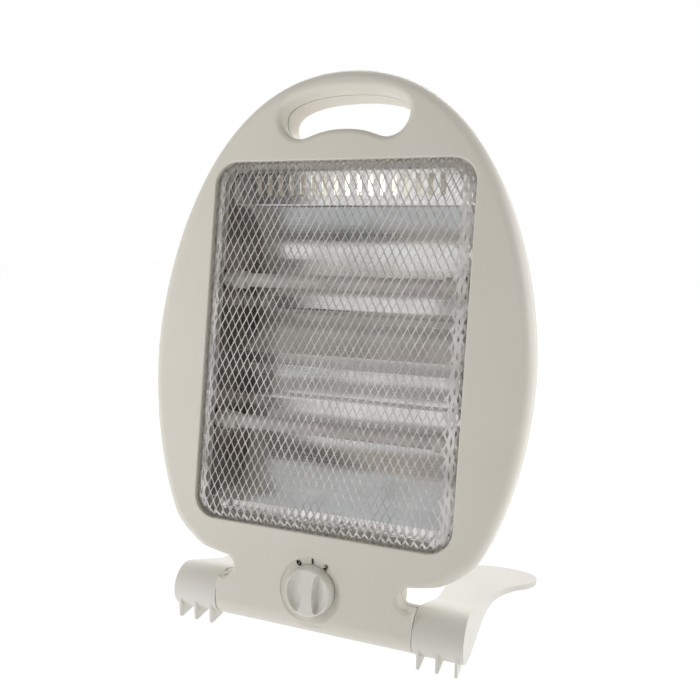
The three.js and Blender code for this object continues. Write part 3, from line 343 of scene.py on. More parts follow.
def bevelled(piece: Piece, width: float, segments: int, angle: float = 40.0) -> Piece:
    """Rounds a body's sharp edges.

    Args:
        piece: The body.
        width: Width of the rounding in millimetres.
        segments: Steps in the rounding.
        angle: Edges sharper than this, in degrees, are rounded.

    Returns:
        The changed body.
    """
    modifier = piece.modifiers.new("round", "BEVEL")
    modifier.width = width
    modifier.segments = segments
    modifier.limit_method = "ANGLE"
    modifier.angle_limit = math.radians(angle)
    return settle(piece)


def bezier(a: Flat, b: Flat, c: Flat, d: Flat, steps: int, until: float = 1.0) -> list[Flat]:
    """Points on a curve between two ends, without the last one.

    Args:
        a: The start.
        b: What it leaves towards.
        c: What it comes from.
        d: The end.
        steps: Steps in the curve.
        until: The share of the curve that is given.

    Returns:
        The points.
    """
    points = []
    for i in range(steps):
        t = until * i / steps
        u = 1 - t
        weights = (u**3, 3 * u * u * t, 3 * u * t * t, t**3)
        points.append(tuple(sum(w * p[k] for w, p in zip(weights, (a, b, c, d))) for k in (0, 1)))
    return points


def arc(centre: Flat, radius: float, start: float, end: float, steps: int) -> list[Flat]:
    """Points on an arc between two angles in degrees, both ends included."""
    angles = (math.radians(start + (end - start) * i / steps) for i in range(steps + 1))
    return [(centre[0] + radius * math.cos(a), centre[1] + radius * math.sin(a)) for a in angles]


def round_rectangle(half: float, bottom: float, top: float, radius: float, steps: int) -> list[Flat]:
    """A rectangle with round corners, centred on x = 0, as a loop of (x, height) points.

    Args:
        half: Half its width.
        bottom: Height of its lower edge.
        top: Height of its upper edge.
        radius: Radius of its corners.
        steps: Steps in each corner.

    Returns:
        The loop.
    """
    right, left = half - radius, radius - half
    high, low = top - radius, bottom + radius
    loop = []
    for i, corner in enumerate(((right, low), (right, high), (left, high), (left, low))):
        loop += arc(corner, radius, 90 * i - 90, 90 * i, steps)
    return loop


def mirrored_loop(half: Sequence[Flat]) -> list[Flat]:
    """A loop made of half an outline, which starts in the middle, and its mirror image."""
    last = len(half) - 1 if half[-1][0] == 0 else len(half)
    return [*half, *((-x, z) for x, z in reversed(half[1:last]))]


def inward(loop: Sequence[Flat]) -> list[Flat]:
    """Unit normals of a clockwise loop, pointing into it.

    Args:
        loop: The loop.

    Returns:
        A normal for each point.
    """
    normals = []
    for i, _ in enumerate(loop):
        before, after = loop[i - 1], loop[(i + 1) % len(loop)]
        along = Vector((after[0] - before[0], after[1] - before[1])).normalized()
        normals.append((along.y, -along.x))
    return normals


def shrunk(loop: Sequence[Flat], inset: float) -> list[Flat]:
    """A clockwise loop drawn in along its normals."""
    return [(x + nx * inset, z + nz * inset) for (x, z), (nx, nz) in zip(loop, inward(loop))]


def quarter(steps: int) -> list[Flat]:
    """Shares of a rounding's (inset, advance), from the flat face to the side wall."""
    angles = (QUARTER_TURN * i / steps for i in range(steps + 1))
    return [(1 - math.sin(a), 1 - math.cos(a)) for a in angles]


def rounded_back(side: float, back: float, radius: float, steps: int) -> list[Flat]:
    """Insets and depths of a rounding between a side wall and a back."""
    return [(side + radius * inset, back - radius * advance) for inset, advance in reversed(quarter(steps))]


def flared(outline: Callable[[float], list[Flat]], lip: float, face: float, far: float, steps: int) -> Piece:
    """A cutting body for a hole whose edge at one face is rounded.

    Args:
        outline: Gives the hole's outline for a growth.
        lip: Rounding of the hole's edge.
        face: Depth of the face with the rounded edge.
        far: Depth where the cut ends, before or behind the face.
        steps: Steps in the rounding.

    Returns:
        The cutting body.
    """
    way = 1.0 if far > face else -1.0
    rings = [(lip + 2 * SLIVER, face - way * OVERLAP)]
    for inset, advance in quarter(steps):
        rings.append((lip * inset, face + way * lip * advance))
    rings.append((0.0, far))
    return loft([[(x, depth, z) for x, z in outline(grow)] for grow, depth in rings])


# ---- Node graphs ----
MIX_COLOURS = (6, 7)  # sockets of a mix node that take and give colours
MIX_RESULT = 2


class Graph:
    """Adds and links nodes in a material, a world or a group."""

    def __init__(self, tree: bpy.types.NodeTree) -> None:
        """Keeps the tree that the nodes go into."""
        self.tree = tree

    def node(self, kind: str, **settings: object) -> bpy.types.Node:
        """Adds a node and sets its properties.

        Args:
            kind: The node's type.
            settings: Its properties.

        Returns:
            The node.
        """
        made = self.tree.nodes.new(kind)
        for key, value in settings.items():
            setattr(made, key, value)
        return made

    def feed(self, socket: Socket, value: object) -> None:
        """Links a socket to an output, or sets its value.

        Args:
            socket: The input.
            value: An output, or a value.
        """
        if isinstance(value, Socket):
            self.tree.links.new(value, socket)
        else:
            socket.default_value = value

    def math(self, operation: str, a: object, b: object = 0.0) -> Socket:
        """Adds a sum, product or other operation on two values.

        Args:
            operation: What is done.
            a: The first.
            b: The second.

        Returns:
            The result.
        """
        made = self.node("ShaderNodeMath", operation=operation)
        self.feed(made.inputs[0], a)
        self.feed(made.inputs[1], b)
        return made.outputs[0]

    def spread(
        self, value: object, low: float, high: float, to_low: float = 0.0, to_high: float = 1.0
    ) -> Socket:
        """Maps a value from one range to another, kept inside it.

        Args:
            value: The value.
            low: Start of its range.
            high: End of its range.
            to_low: What the start becomes.
            to_high: What the end becomes.

        Returns:
            The mapped value.
        """
        made = self.node("ShaderNodeMapRange")
        for socket, given in zip(made.inputs, (value, low, high, to_low, to_high)):
            self.feed(socket, given)
        return made.outputs[0]

    def mix(self, share: object, a: object, b: object) -> Socket:
        """Mixes two colours.

        Args:
            share: Share of the second.
            a: The first.
            b: The second.

        Returns:
            The mixed colour.
        """
        made = self.node("ShaderNodeMix", data_type="RGBA")
        self.feed(made.inputs["Factor"], share)
        for number, given in zip(MIX_COLOURS, (a, b)):
            self.feed(made.inputs[number], given if isinstance(given, Socket) else (*given, 1.0))
        return made.outputs[MIX_RESULT]

    def mix_shaders(self, share: object, a: Socket, b: Socket) -> Socket:
        """Mixes two shaders.

        Args:
            share: Share of the second.
            a: The first.
            b: The second.

        Returns:
            The mixed shader.
        """
        made = self.node("ShaderNodeMixShader")
        for socket, given in zip(made.inputs, (share, a, b)):
            self.feed(socket, given)
        return made.outputs[0]

    def stretched(self, scale: Point) -> Socket:
        """The object's own coordinates, stretched.

        Args:
            scale: Stretch along each axis.

        Returns:
            The coordinates.
        """
        mapping = self.node("ShaderNodeMapping")
        mapping.inputs["Scale"].default_value = scale
        self.feed(mapping.inputs["Vector"], self.node("ShaderNodeTexCoord").outputs["Object"])
        return mapping.outputs[0]

    def noise(self, scale: object, detail: float, stretch: Point = (1.0, 1.0, 1.0)) -> Socket:
        """Adds cloudy noise on the object's own coordinates.

        Args:
            scale: Its fineness.
            detail: How many finer layers it has.
            stretch: Stretch along each axis.

        Returns:
            The noise, 0 to 1.
        """
        made = self.node("ShaderNodeTexNoise")
        self.feed(made.inputs["Vector"], self.stretched(stretch))
        self.feed(made.inputs["Scale"], scale)
        made.inputs["Detail"].default_value = detail
        return made.outputs[0]

    def use(self, group: bpy.types.NodeTree, **values: object) -> dict[str, Socket]:
        """Places a shared effect with its own values.

        Args:
            group: The effect.
            values: Values of its inputs, with underscores for spaces.

        Returns:
            The effect's outputs by name.
        """
        made = self.node("ShaderNodeGroup", node_tree=group)
        for key, value in values.items():
            self.feed(made.inputs[key.replace("_", " ")], value)
        return {output.name: output for output in made.outputs}


Sockets = dict[str, Socket]
Build = Callable[[Graph, Sockets], Sockets]


def effect(name: str, inputs: dict[str, float], outputs: Sequence[str], build: Build) -> bpy.types.NodeTree:
    """Makes a shared effect as a shader node group.

    Args:
        name: The group's name.
        inputs: Its inputs with their usual values.
        outputs: Names of its outputs, which are values.
        build: Fills the graph: takes it and the inputs by name, and returns the outputs by name.

    Returns:
        The group.
    """
    group = bpy.data.node_groups.new(name, "ShaderNodeTree")
    for key, value in inputs.items():
        socket = group.interface.new_socket(key, in_out="INPUT", socket_type="NodeSocketFloat")
        socket.default_value = value
    for key in outputs:
        group.interface.new_socket(key, in_out="OUTPUT", socket_type="NodeSocketFloat")
    graph = Graph(group)
    entry = graph.node("NodeGroupInput")
    leave = graph.node("NodeGroupOutput")
    made = build(graph, {socket.name: socket for socket in entry.outputs if socket.name})
    for key in outputs:
        graph.feed(leave.inputs[key], made[key])
    return group


# Ranges that the effects and finishes spread over 0 to 1.
FACING_UP = (0.3, 1.0)
DUST_PATCHES = (0.35, 0.75)
SHARP_EDGE = (0.505, 0.56)
MOST_NOISE = (0.3, 0.7)
CLOUDS = (0.35, 0.65)
DULL_PATCHES = (0.4, 0.7)
STAINS = (0.45, 0.7)
# Noise drawn out across the heater.
ROLLED = (0.04, 1.0, 1.0)
DRAWN = (0.03, 1.0, 1.0)


def build_grain(graph: Graph, given: Sockets) -> Sockets:
    """Fine moulding grain over a slow unevenness of the surface.

    Args:
        graph: The graph.
        given: Its inputs.

    Returns:
        The height, and the slow part alone.
    """
    fine = graph.noise(given["Fineness"], detail=3.0)
    slow = graph.noise(given["Slow scale"], detail=1.0)
    height = graph.math("ADD", fine, graph.math("MULTIPLY", slow, given["Slow share"]))
    return {"Height": height, "Cloud": slow}


def build_dust(graph: Graph, given: Sockets) -> Sockets:
    """Thin dust on what faces up, broken up by noise.

    Args:
        graph: The graph.
        given: Its inputs.

    Returns:
        The mask.
    """
    normal = graph.node("ShaderNodeNewGeometry").outputs["Normal"]
    split = graph.node("ShaderNodeSeparateXYZ")
    graph.feed(split.inputs[0], normal)
    facing = graph.spread(split.outputs["Z"], *FACING_UP)
    patches = graph.spread(graph.noise(given["Patch scale"], detail=4.0), *DUST_PATCHES)
    return {"Mask": graph.math("MULTIPLY", graph.math("MULTIPLY", facing, patches), given["Amount"])}


def build_wear(graph: Graph, given: Sockets) -> Sockets:
    """Rubbed edges, from the surface's own sharpness and noise.

    Args:
        graph: The graph.
        given: Its inputs.

    Returns:
        The mask.
    """
    sharpness = graph.node("ShaderNodeNewGeometry").outputs["Pointiness"]
    edge = graph.spread(sharpness, *SHARP_EDGE)
    broken = graph.spread(graph.noise(given["Break scale"], detail=5.0), *MOST_NOISE)
    return {"Mask": graph.math("MULTIPLY", graph.math("MULTIPLY", edge, broken), given["Amount"])}


def build_rolling(graph: Graph, given: Sockets) -> Sockets:
    """Rolling lines and shallow waves of thin sheet.

    Args:
        graph: The graph.
        given: Its inputs.

    Returns:
        The height, and the lines alone.
    """
    lines = graph.noise(given["Line scale"], detail=3.0, stretch=ROLLED)
    waves = graph.noise(given["Wave scale"], detail=2.0)
    height = graph.math("ADD", waves, graph.math("MULTIPLY", lines, given["Line share"]))
    return {"Height": height, "Lines": lines}


MOULDING = {"Fineness": 1800.0, "Slow scale": 14.0, "Slow share": 0.6}
SHEET = {"Line scale": 900.0, "Line share": 0.15, "Wave scale": 18.0}
GRAIN = effect("moulding_grain", MOULDING, ("Height", "Cloud"), build_grain)
DUST = effect("settled_dust", {"Patch scale": 60.0, "Amount": 0.2}, ("Mask",), build_dust)
WEAR = effect("rubbed_edges", {"Break scale": 300.0, "Amount": 0.5}, ("Mask",), build_wear)
ROLLING = effect("rolled_sheet", SHEET, ("Height", "Lines"), build_rolling)


# ---- Finishes ----
SCREEN_KNEE = 0.04045  # the screen's curve from level to light
SCREEN_SLOPE = 12.92
SCREEN_OFFSET = 0.055
SCREEN_POWER = 2.4


def colour(levels: Levels) -> Colour:
    """A screen colour as the shader's own.

    Args:
        levels: The colour on a screen.

    Returns:
        Its light, 0 to 1.
    """
    shares = (level / 255 for level in levels)
    return tuple(
        share / SCREEN_SLOPE
        if share <= SCREEN_KNEE
        else ((share + SCREEN_OFFSET) / (1 + SCREEN_OFFSET)) ** SCREEN_POWER
        for share in shares
    )


def new_material(name: str) -> tuple[bpy.types.Material, Graph, bpy.types.Node]:
    """Starts a material with its Principled shader.

    Args:
        name: Its name.

    Returns:
        The material, its graph and its shader.
    """
    material = bpy.data.materials.new(name)
    material.use_nodes = True
    graph = Graph(material.node_tree)
    return material, graph, material.node_tree.nodes["Principled BSDF"]


def bumped(graph: Graph, shader: bpy.types.Node, height: Socket, depth: float, strength: float) -> None:
    """Feeds a height in metres times depth to a shader's normal.

    Args:
        graph: The graph.
        shader: The shader.
        height: The height.
        depth: What a height of 1 is in metres.
        strength: How strong it is.
    """
    bump = graph.node("ShaderNodeBump")
    bump.inputs["Strength"].default_value = strength
    bump.inputs["Distance"].default_value = depth
    graph.feed(bump.inputs["Height"], height)
    graph.feed(shader.inputs["Normal"], bump.outputs[0])


@dataclass(frozen=True)
class MouldedPlastic:
    """Moulded plastic: fine grain, slow unevenness, a little dust and rubbed edges."""

    name: str
    body: Levels
    shade: Levels
    rubbed: Levels
    roughness: float = 0.42
    grain: float = 5e-5
    dust: float = 0.12
    subsurface: float = 0.0
    coat: float = 0.0
    wear: float = 0.35
    dust_colour: Levels = (214, 208, 196)
    dust_dulling: float = 0.5
    smoother: float = 0.04
    rougher: float = 0.05
    ior: float = 1.5
    scatter: Point = (1.0, 0.9, 0.75)
    scatter_depth: float = 0.002
    relief: float = 0.35

    def material(self) -> bpy.types.Material:
        """Builds the material.

        Returns:
            The material.
        """
        material, graph, shader = new_material(self.name)
        grain = graph.use(GRAIN)
        dust = graph.use(DUST, Amount=self.dust)["Mask"]
        wear = graph.use(WEAR, Amount=self.wear)["Mask"]
        clouded = graph.mix(graph.spread(grain["Cloud"], *CLOUDS), colour(self.body), colour(self.shade))
        rubbed = graph.mix(wear, clouded, colour(self.rubbed))
        graph.feed(shader.inputs["Base Color"], graph.mix(dust, rubbed, colour(self.dust_colour)))
        smooth, rough = self.roughness - self.smoother, self.roughness + self.rougher
        uneven = graph.spread(grain["Cloud"], *MOST_NOISE, smooth, rough)
        dulled = graph.math("ADD", uneven, graph.math("MULTIPLY", dust, self.dust_dulling))
        graph.feed(shader.inputs["Roughness"], dulled)
        shader.inputs["IOR"].default_value = self.ior
        shader.inputs["Coat Weight"].default_value = self.coat
        shader.inputs["Subsurface Weight"].default_value = self.subsurface
        shader.inputs["Subsurface Radius"].default_value = self.scatter
        shader.inputs["Subsurface Scale"].default_value = self.scatter_depth
        bumped(graph, shader, grain["Height"], self.grain, self.relief)
        return material


@dataclass(frozen=True)
class PlatedMetal:
    """Plated or bright sheet metal: rolling lines, waves, dull patches and rubbed edges."""

    name: str
    bright: Levels
    dull: Levels
    roughness: float = 0.3
    unevenness: float = 0.12
    wave: float = 1e-4
    wave_scale: float = 18.0
    patch_scale: float = 45.0
    wear: float = 0.5
    line: float = 0.02
    relief: float = 0.5

    def material(self) -> bpy.types.Material:
        """Builds the material.

        Returns:
            The material.
        """
        material, graph, shader = new_material(self.name)
        rolled = graph.use(ROLLING, Wave_scale=self.wave_scale)
        wear = graph.use(WEAR, Amount=self.wear)["Mask"]
        patches = graph.spread(graph.noise(self.patch_scale, detail=5.0), *DULL_PATCHES)
        tint = graph.mix(patches, colour(self.bright), colour(self.dull))
        graph.feed(shader.inputs["Base Color"], graph.mix(wear, tint, colour(self.bright)))
        rough = graph.spread(patches, 0.0, 1.0, self.roughness, self.roughness + self.unevenness)
        lines = graph.spread(rolled["Lines"], *MOST_NOISE, -self.line, self.line)
        graph.feed(shader.inputs["Roughness"], graph.math("ADD", rough, lines))
        shader.inputs["Metallic"].default_value = 1.0
        bumped(graph, shader, rolled["Height"], self.wave, self.relief)
        return material


@dataclass(frozen=True)
class MilkyQuartz:
    """Opal quartz tube: milky glass with drawn streaks along it, and a painted glow that only mirror rays
    see, which stands for light that the reflector throws back on the tube.
    """

    name: str = "milky_quartz"
    clear: Levels = (208, 202, 200)
    milk: Levels = (226, 221, 218)
    streak_scale: float = 700.0
    cloud_scale: float = 90.0
    smooth: float = 0.3
    rough: float = 0.42
    ior: float = 1.46
    transmission: float = 0.22
    painted_glow_colour: Colour = (0.98, 0.96, 0.94)
    facing: Flat = (-0.4, 0.4)
    painted_glow_above: float = 0.18  # painted glow on the tube's upper side: emission that stands for light the reflector throws back on it, seen only in mirrors
    painted_glow_below: float = 0.1
    streak_depth: float = 5e-5
    relief: float = 0.4

    def material(self) -> bpy.types.Material:
        """Builds the material.

        Returns:
            The material.
        """
        material, graph, shader = new_material(self.name)
        streaks = graph.noise(self.streak_scale, detail=3.0, stretch=DRAWN)
        clouds = graph.spread(graph.noise(self.cloud_scale, detail=2.0), *CLOUDS)
        graph.feed(shader.inputs["Base Color"], graph.mix(clouds, colour(self.clear), colour(self.milk)))
        graph.feed(shader.inputs["Roughness"], graph.spread(streaks, *MOST_NOISE, self.smooth, self.rough))
        shader.inputs["Transmission Weight"].default_value = self.transmission
        shader.inputs["IOR"].default_value = self.ior
        # Painted glow: emission that only mirror rays see, stronger where the tube faces up, standing for
        # light the reflector throws back on the tube.
        shader.inputs["Emission Color"].default_value = (*self.painted_glow_colour, 1.0)
        split = graph.node("ShaderNodeSeparateXYZ")
        graph.feed(split.inputs[0], graph.node("ShaderNodeNewGeometry").outputs["Normal"])
        level = graph.spread(split.outputs["Z"], *self.facing, self.painted_glow_below, self.painted_glow_above)
        glossy = graph.node("ShaderNodeLightPath").outputs["Is Glossy Ray"]
        graph.feed(shader.inputs["Emission Strength"], graph.math("MULTIPLY", glossy, level))
        bumped(graph, shader, streaks, self.streak_depth, self.relief)
        return material


@dataclass(frozen=True)
class PressedCeramic:
    """Pressed ceramic: matt, pitted and a little stained."""

    name: str = "pressed_ceramic"
    body: Levels = (228, 224, 217)
    stain: Levels = (198, 192, 182)
    pit_scale: float = 1400.0
    pit_range: Ramp = (0.0, 0.6, 0.9, 0.7)
    pit_depth: float = 8e-5
    stain_scale: float = 160.0
    relief: float = 0.5

    def material(self) -> bpy.types.Material:
        """Builds the material.

        Returns:
            The material.
        """
        material, graph, shader = new_material(self.name)
        pits = graph.node("ShaderNodeTexVoronoi")
        pits.inputs["Scale"].default_value = self.pit_scale
        graph.feed(pits.inputs["Vector"], graph.stretched((1.0, 1.0, 1.0)))
        stained = graph.spread(graph.noise(self.stain_scale, detail=5.0), *STAINS)
        graph.feed(shader.inputs["Base Color"], graph.mix(stained, colour(self.body), colour(self.stain)))
        graph.feed(shader.inputs["Roughness"], graph.spread(pits.outputs["Distance"], *self.pit_range))
        bumped(graph, shader, pits.outputs["Distance"], self.pit_depth, self.relief)
        return material


NAMED_BY_SLOT = (
    MouldedPlastic("casing_plastic", (233, 229, 219), (230, 226, 215), (239, 236, 230), subsurface=0.12),
    MouldedPlastic("foot_plastic", (236, 234, 228), (232, 230, 223), (240, 238, 232), 0.46, dust=0.1),
    MouldedPlastic("knob_plastic", (238, 236, 230), (233, 231, 224), (244, 242, 237), 0.28, 3e-5, coat=0.25),
    MouldedPlastic("black_plastic", (42, 42, 45), (34, 34, 37), (78, 78, 80), 0.5, 8e-5, 0.3),
    MouldedPlastic("block_plastic", (226, 224, 214), (214, 211, 200), (236, 234, 226), 0.5, subsurface=0.2),
    MouldedPlastic("brown_lead", (104, 66, 44), (92, 57, 38), (132, 92, 68), 0.5, 3e-5),
    MouldedPlastic("blue_lead", (58, 92, 150), (48, 80, 136), (92, 122, 172), 0.5, 3e-5),
    MouldedPlastic("dial_ink", (14, 14, 15), (20, 19, 20), (30, 30, 30), 0.7, 2e-5, 0.0),
    PlatedMetal("guard_steel", (206, 205, 203), (172, 170, 168), 0.34, 0.16, 3e-5),
    PlatedMetal("plated_steel", (232, 232, 230), (206, 206, 203), 0.24, 0.16, 5e-5),
    PlatedMetal("reflector_sheet", (239, 239, 238), (227, 227, 226), 0.15, 0.05, 4e-4, wave_scale=9.0),
    PlatedMetal("terminal_brass", (206, 176, 104), (160, 128, 70), 0.28, 0.2, 5e-5),
    PlatedMetal("element_wire", (126, 114, 106), (84, 74, 70), 0.42, 0.15, 2e-5),
)
# Painted shade: the end plates take a darker, browner sheet that stands for the dark room they mirror.
END_PLATE = PlatedMetal("tarnished_sheet", (128, 120, 113), (96, 89, 83), 0.2, 0.12, 3e-4, wave_scale=9.0)


class Finishes:
    """The heater's materials by slot."""

    def __init__(self) -> None:
        """Builds every material once."""
        self.by_slot = {finish.name: finish.material() for finish in NAMED_BY_SLOT}
        self.by_slot["quartz"] = MilkyQuartz().material()
        self.by_slot["cap_ceramic"] = PressedCeramic().material()
        self.by_slot["end_plate"] = END_PLATE.material()

    def __getitem__(self, slot: str) -> bpy.types.Material:
        """The material of a slot."""
        return self.by_slot[slot]

    def place(
        self,
        piece: Piece,
        name: str,
        slot: str,
        *replaced: str,
        body: str = "root",
        placement: Matrix | None = None,
        crease: float = 32.0,
        finish: str | None = None,
    ) -> None:
        """Puts a shaped body in the heater's frame as a finished piece.

        Args:
            piece: The body, in millimetres.
            name: Its name.
            slot: The record's material slot that it takes its finish from.
            replaced: CAD nodes that it stands for.
            body: The moving body that it rides on.
            placement: From millimetres to the heater's frame, the casing's if none is given.
            crease: Edges sharper than this, in degrees, stay sharp.
            finish: Its finish, if that isn't the slot's own.
        """
        mesh = piece.data
        mesh.transform(placement or POSTURE.casing())
        mesh.shade_smooth()
        mesh.set_sharp_from_angle(angle=math.radians(crease))
        mesh.materials.clear()
        mesh.materials.append(self[finish or slot])
        piece.name = name
        mesh.name = name
        weighted = piece.modifiers.new("shading", "WEIGHTED_NORMAL")
        weighted.keep_sharp = True
        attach(piece, body)
        if replaced:
            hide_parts(*replaced)
        LOG.info("%s: %d faces", name, len(mesh.polygons))

    def dress_nodes(self) -> None:
        """Gives every carried-over CAD node the material of its slot, and the end plates their own darker
        sheet, which is painted shade for the dark room they mirror.
        """
        for part in FRAME["record"]["subparts"]:
            slot = "end_plate" if part["node"].endswith("_end_plate") else part["material_slot"]
            materials = FRAME["nodes"][part["node"]].data.materials
            materials.clear()
            materials.append(self[slot])


# ---- Casing ----
@dataclass(frozen=True)
class Outlines:
    """Outlines on the face, in millimetres, and the pulls of their curves."""

    half_width: float = 134.6
    crown: float = 388.0
    crown_pull: float = 0.788
    waist: float = 191.05
    waist_rise: float = 0.297
    waist_fall: float = 0.451
    shoulder: Flat = (110.2, 76.0)
    shoulder_slope: Flat = (-0.461, -0.887)
    shoulder_pull: Flat = (22.4, 10.9)
    side_steps: tuple[int, int, int] = (60, 26, 16)
    chin: Flat = (84.0, 55.4)
    chin_pull: Flat = (6.7, 1.34)
    chin_run: Flat = (24.0, 4.8)
    chin_middle: float = 50.0
    chin_flat: float = 28.0
    chin_steps: int = 16
    notch_share: float = 0.2215
    notch_centre: Flat = (67.0, 45.3)
    notch_radius: float = 7.5
    bar_half: float = 71.0
    bar_end: tuple[Flat, ...] = ((69.0, 37.8), (71.0, 37.4), (71.0, 30.0))
    hub_line: float = 22.8
    fade_steps: int = 6
    sill: float = 76.8
    window_top: float = 326.8
    window_half: float = 92.5
    window_corner: float = 16.0
    handle_end: float = 45.5
    handle_top: float = 373.5
    handle_waist: float = 25.2
    handle_arch: float = 6.0
    handle_end_radius: float = 15.0
    handle_top_pull: float = 0.47
    handle_side_rise: float = 0.22
    handle_side_fall: float = 0.55
    handle_lobe_pull: float = 6.0
    handle_arch_pull: float = 0.6

    def sides(self) -> list[Flat]:
        """Right side from the crown to the chin, fine.

        Returns:
            The points.
        """
        crown, waist, half, chin = self.crown, self.waist, self.half_width, self.chin
        (x, z), (slope_x, slope_z), (before, after) = self.shoulder, self.shoulder_slope, self.shoulder_pull
        above, below = waist + self.waist_rise * (crown - waist), waist - self.waist_fall * (waist - z)
        shoulder_in = (x - before * slope_x, z - before * slope_z)
        shoulder_out = (x + after * slope_x, z + after * slope_z)
        chin_in = (chin[0] + self.chin_pull[0], chin[1] + self.chin_pull[1])
        top, middle, bottom = self.side_steps
        return [
            *bezier((0, crown), (self.crown_pull * half, crown), (half, above), (half, waist), top),
            *bezier((half, waist), (half, below), shoulder_in, self.shoulder, middle),
            *bezier(self.shoulder, shoulder_out, chin_in, chin, bottom),
        ]

    def underside(self, steps: int, until: float = 1.0) -> list[Flat]:
        """Underside from the chin to the middle, or part of it.

        Args:
            steps: Steps in the curve.
            until: The share of it that is given.

        Returns:
            The points.
        """
        chin, middle = self.chin, (0, self.chin_middle)
        chin_out = (chin[0] - self.chin_run[0], chin[1] - self.chin_run[1])
        return bezier(chin, chin_out, (self.chin_flat, self.chin_middle), middle, steps, until)

    def oval(self) -> list[Flat]:
        """The whole oval without the neck, clockwise from the crown."""
        return mirrored_loop([*self.sides(), *self.underside(self.chin_steps), (0, self.chin_middle)])

    def with_neck(self, edge: float, notch_edge: float, bar_edges: Sequence[float]) -> EdgedLoop:
        """The oval with its neck and notches, clockwise from the crown.

        Args:
            edge: Rounding of the oval's front edge.
            notch_edge: Rounding round the notches.
            bar_edges: Rounding at the last points, which are the bar's end.

        Returns:
            The loop with its roundings.
        """
        sides = self.sides()
        under = self.underside(self.fade_steps, self.notch_share)
        notch = arc(self.notch_centre, self.notch_radius, 90, 270, 24)
        last = (self.bar_half, self.hub_line - OVERLAP)
        fade = self.fade_steps + len(under)
        rounds = [edge] * (len(sides) - self.fade_steps)
        rounds += [edge + (notch_edge - edge) * (i + 1) / fade for i in range(fade)]
        rounds += [*([notch_edge] * len(notch)), *bar_edges]
        loop = mirrored_loop([*sides, *under, *notch, *self.bar_end, last])
        return loop, [*rounds, *reversed(rounds[1:])]

    def window(self, grow: float = 0.0) -> list[Flat]:
        """The guard's window, grown by a margin."""
        low, high = self.sill - grow, self.window_top + grow
        return round_rectangle(self.window_half + grow, low, high, self.window_corner + grow, 12)

    def handle(self, grow: float = 0.0) -> list[Flat]:
        """The carry hole: a kidney with its lower edge arched up, grown by a margin.

        Args:
            grow: The margin.

        Returns:
            The loop.
        """
        top = self.handle_top + grow
        arch = self.handle_top - self.handle_waist - grow
        end = self.handle_end + grow
        lobe = self.handle_end - self.handle_end_radius
        low = arch - self.handle_arch
        side = low + self.handle_end_radius + grow
        corner = lobe + self.handle_side_fall * (end - lobe)
        above, below = top - self.handle_side_rise * (top - side), side - self.handle_side_fall * (side - low)
        lobe_in, arch_out = self.handle_lobe_pull - lobe, -self.handle_arch_pull * lobe
        return mirrored_loop([
            *bezier((0, top), (-self.handle_top_pull * end, top), (-end, above), (-end, side), 16),
            *bezier((-end, side), (-end, below), (-corner, low), (-lobe, low), 10),
            *bezier((-lobe, low), (lobe_in, low), (arch_out, arch), (0, arch), 10),
            (0, arch),
        ])


OUTLINES = Outlines()
HUB_CENTRE = (POSTURE.hub_depth, OUTLINES.hub_line)


@dataclass(frozen=True)
class ShellScrew:
    """A screw with a cross recess that joins the shells, driven from the back."""

    name: str
    x: float
    height: float
    back: float
    tip: float = 10.0
    radius: float = 1.4
    taper: Flat = (0.6, 0.3)
    head_radius: float = 2.8
    head_height: float = 1.8
    head_edge: tuple[Flat, ...] = ((0.8, 0.0), (0.3, 0.3), (0.0, 1.2))
    sunk: float = 5.7
    cross_reach: float = 1.7
    cross_half: float = 0.32
    cross_depth: float = 0.9

    def shaped(self) -> Piece:
        """The screw from its tip to its head.

        Returns:
            The body.
        """
        x, z = self.x, self.height
        seat = self.back - self.sunk
        head = seat + self.head_height
        along, thinner = self.taper
        profile = [(self.tip, self.radius - thinner), (self.tip + along, self.radius)]
        profile += [(seat, self.radius), (seat, self.head_radius)]
        profile += [(head - before, self.head_radius - less) for before, less in self.head_edge]
        cross = [
            block((x - a, head - self.cross_depth, z - b), (x + a, head + OVERLAP, z + b))
            for a, b in ((self.cross_reach, self.cross_half), (self.cross_half, self.cross_reach))
        ]
        return combine(turned(profile, Axis.THROUGH, (x, z), 32), Operation.CUT, *cross)


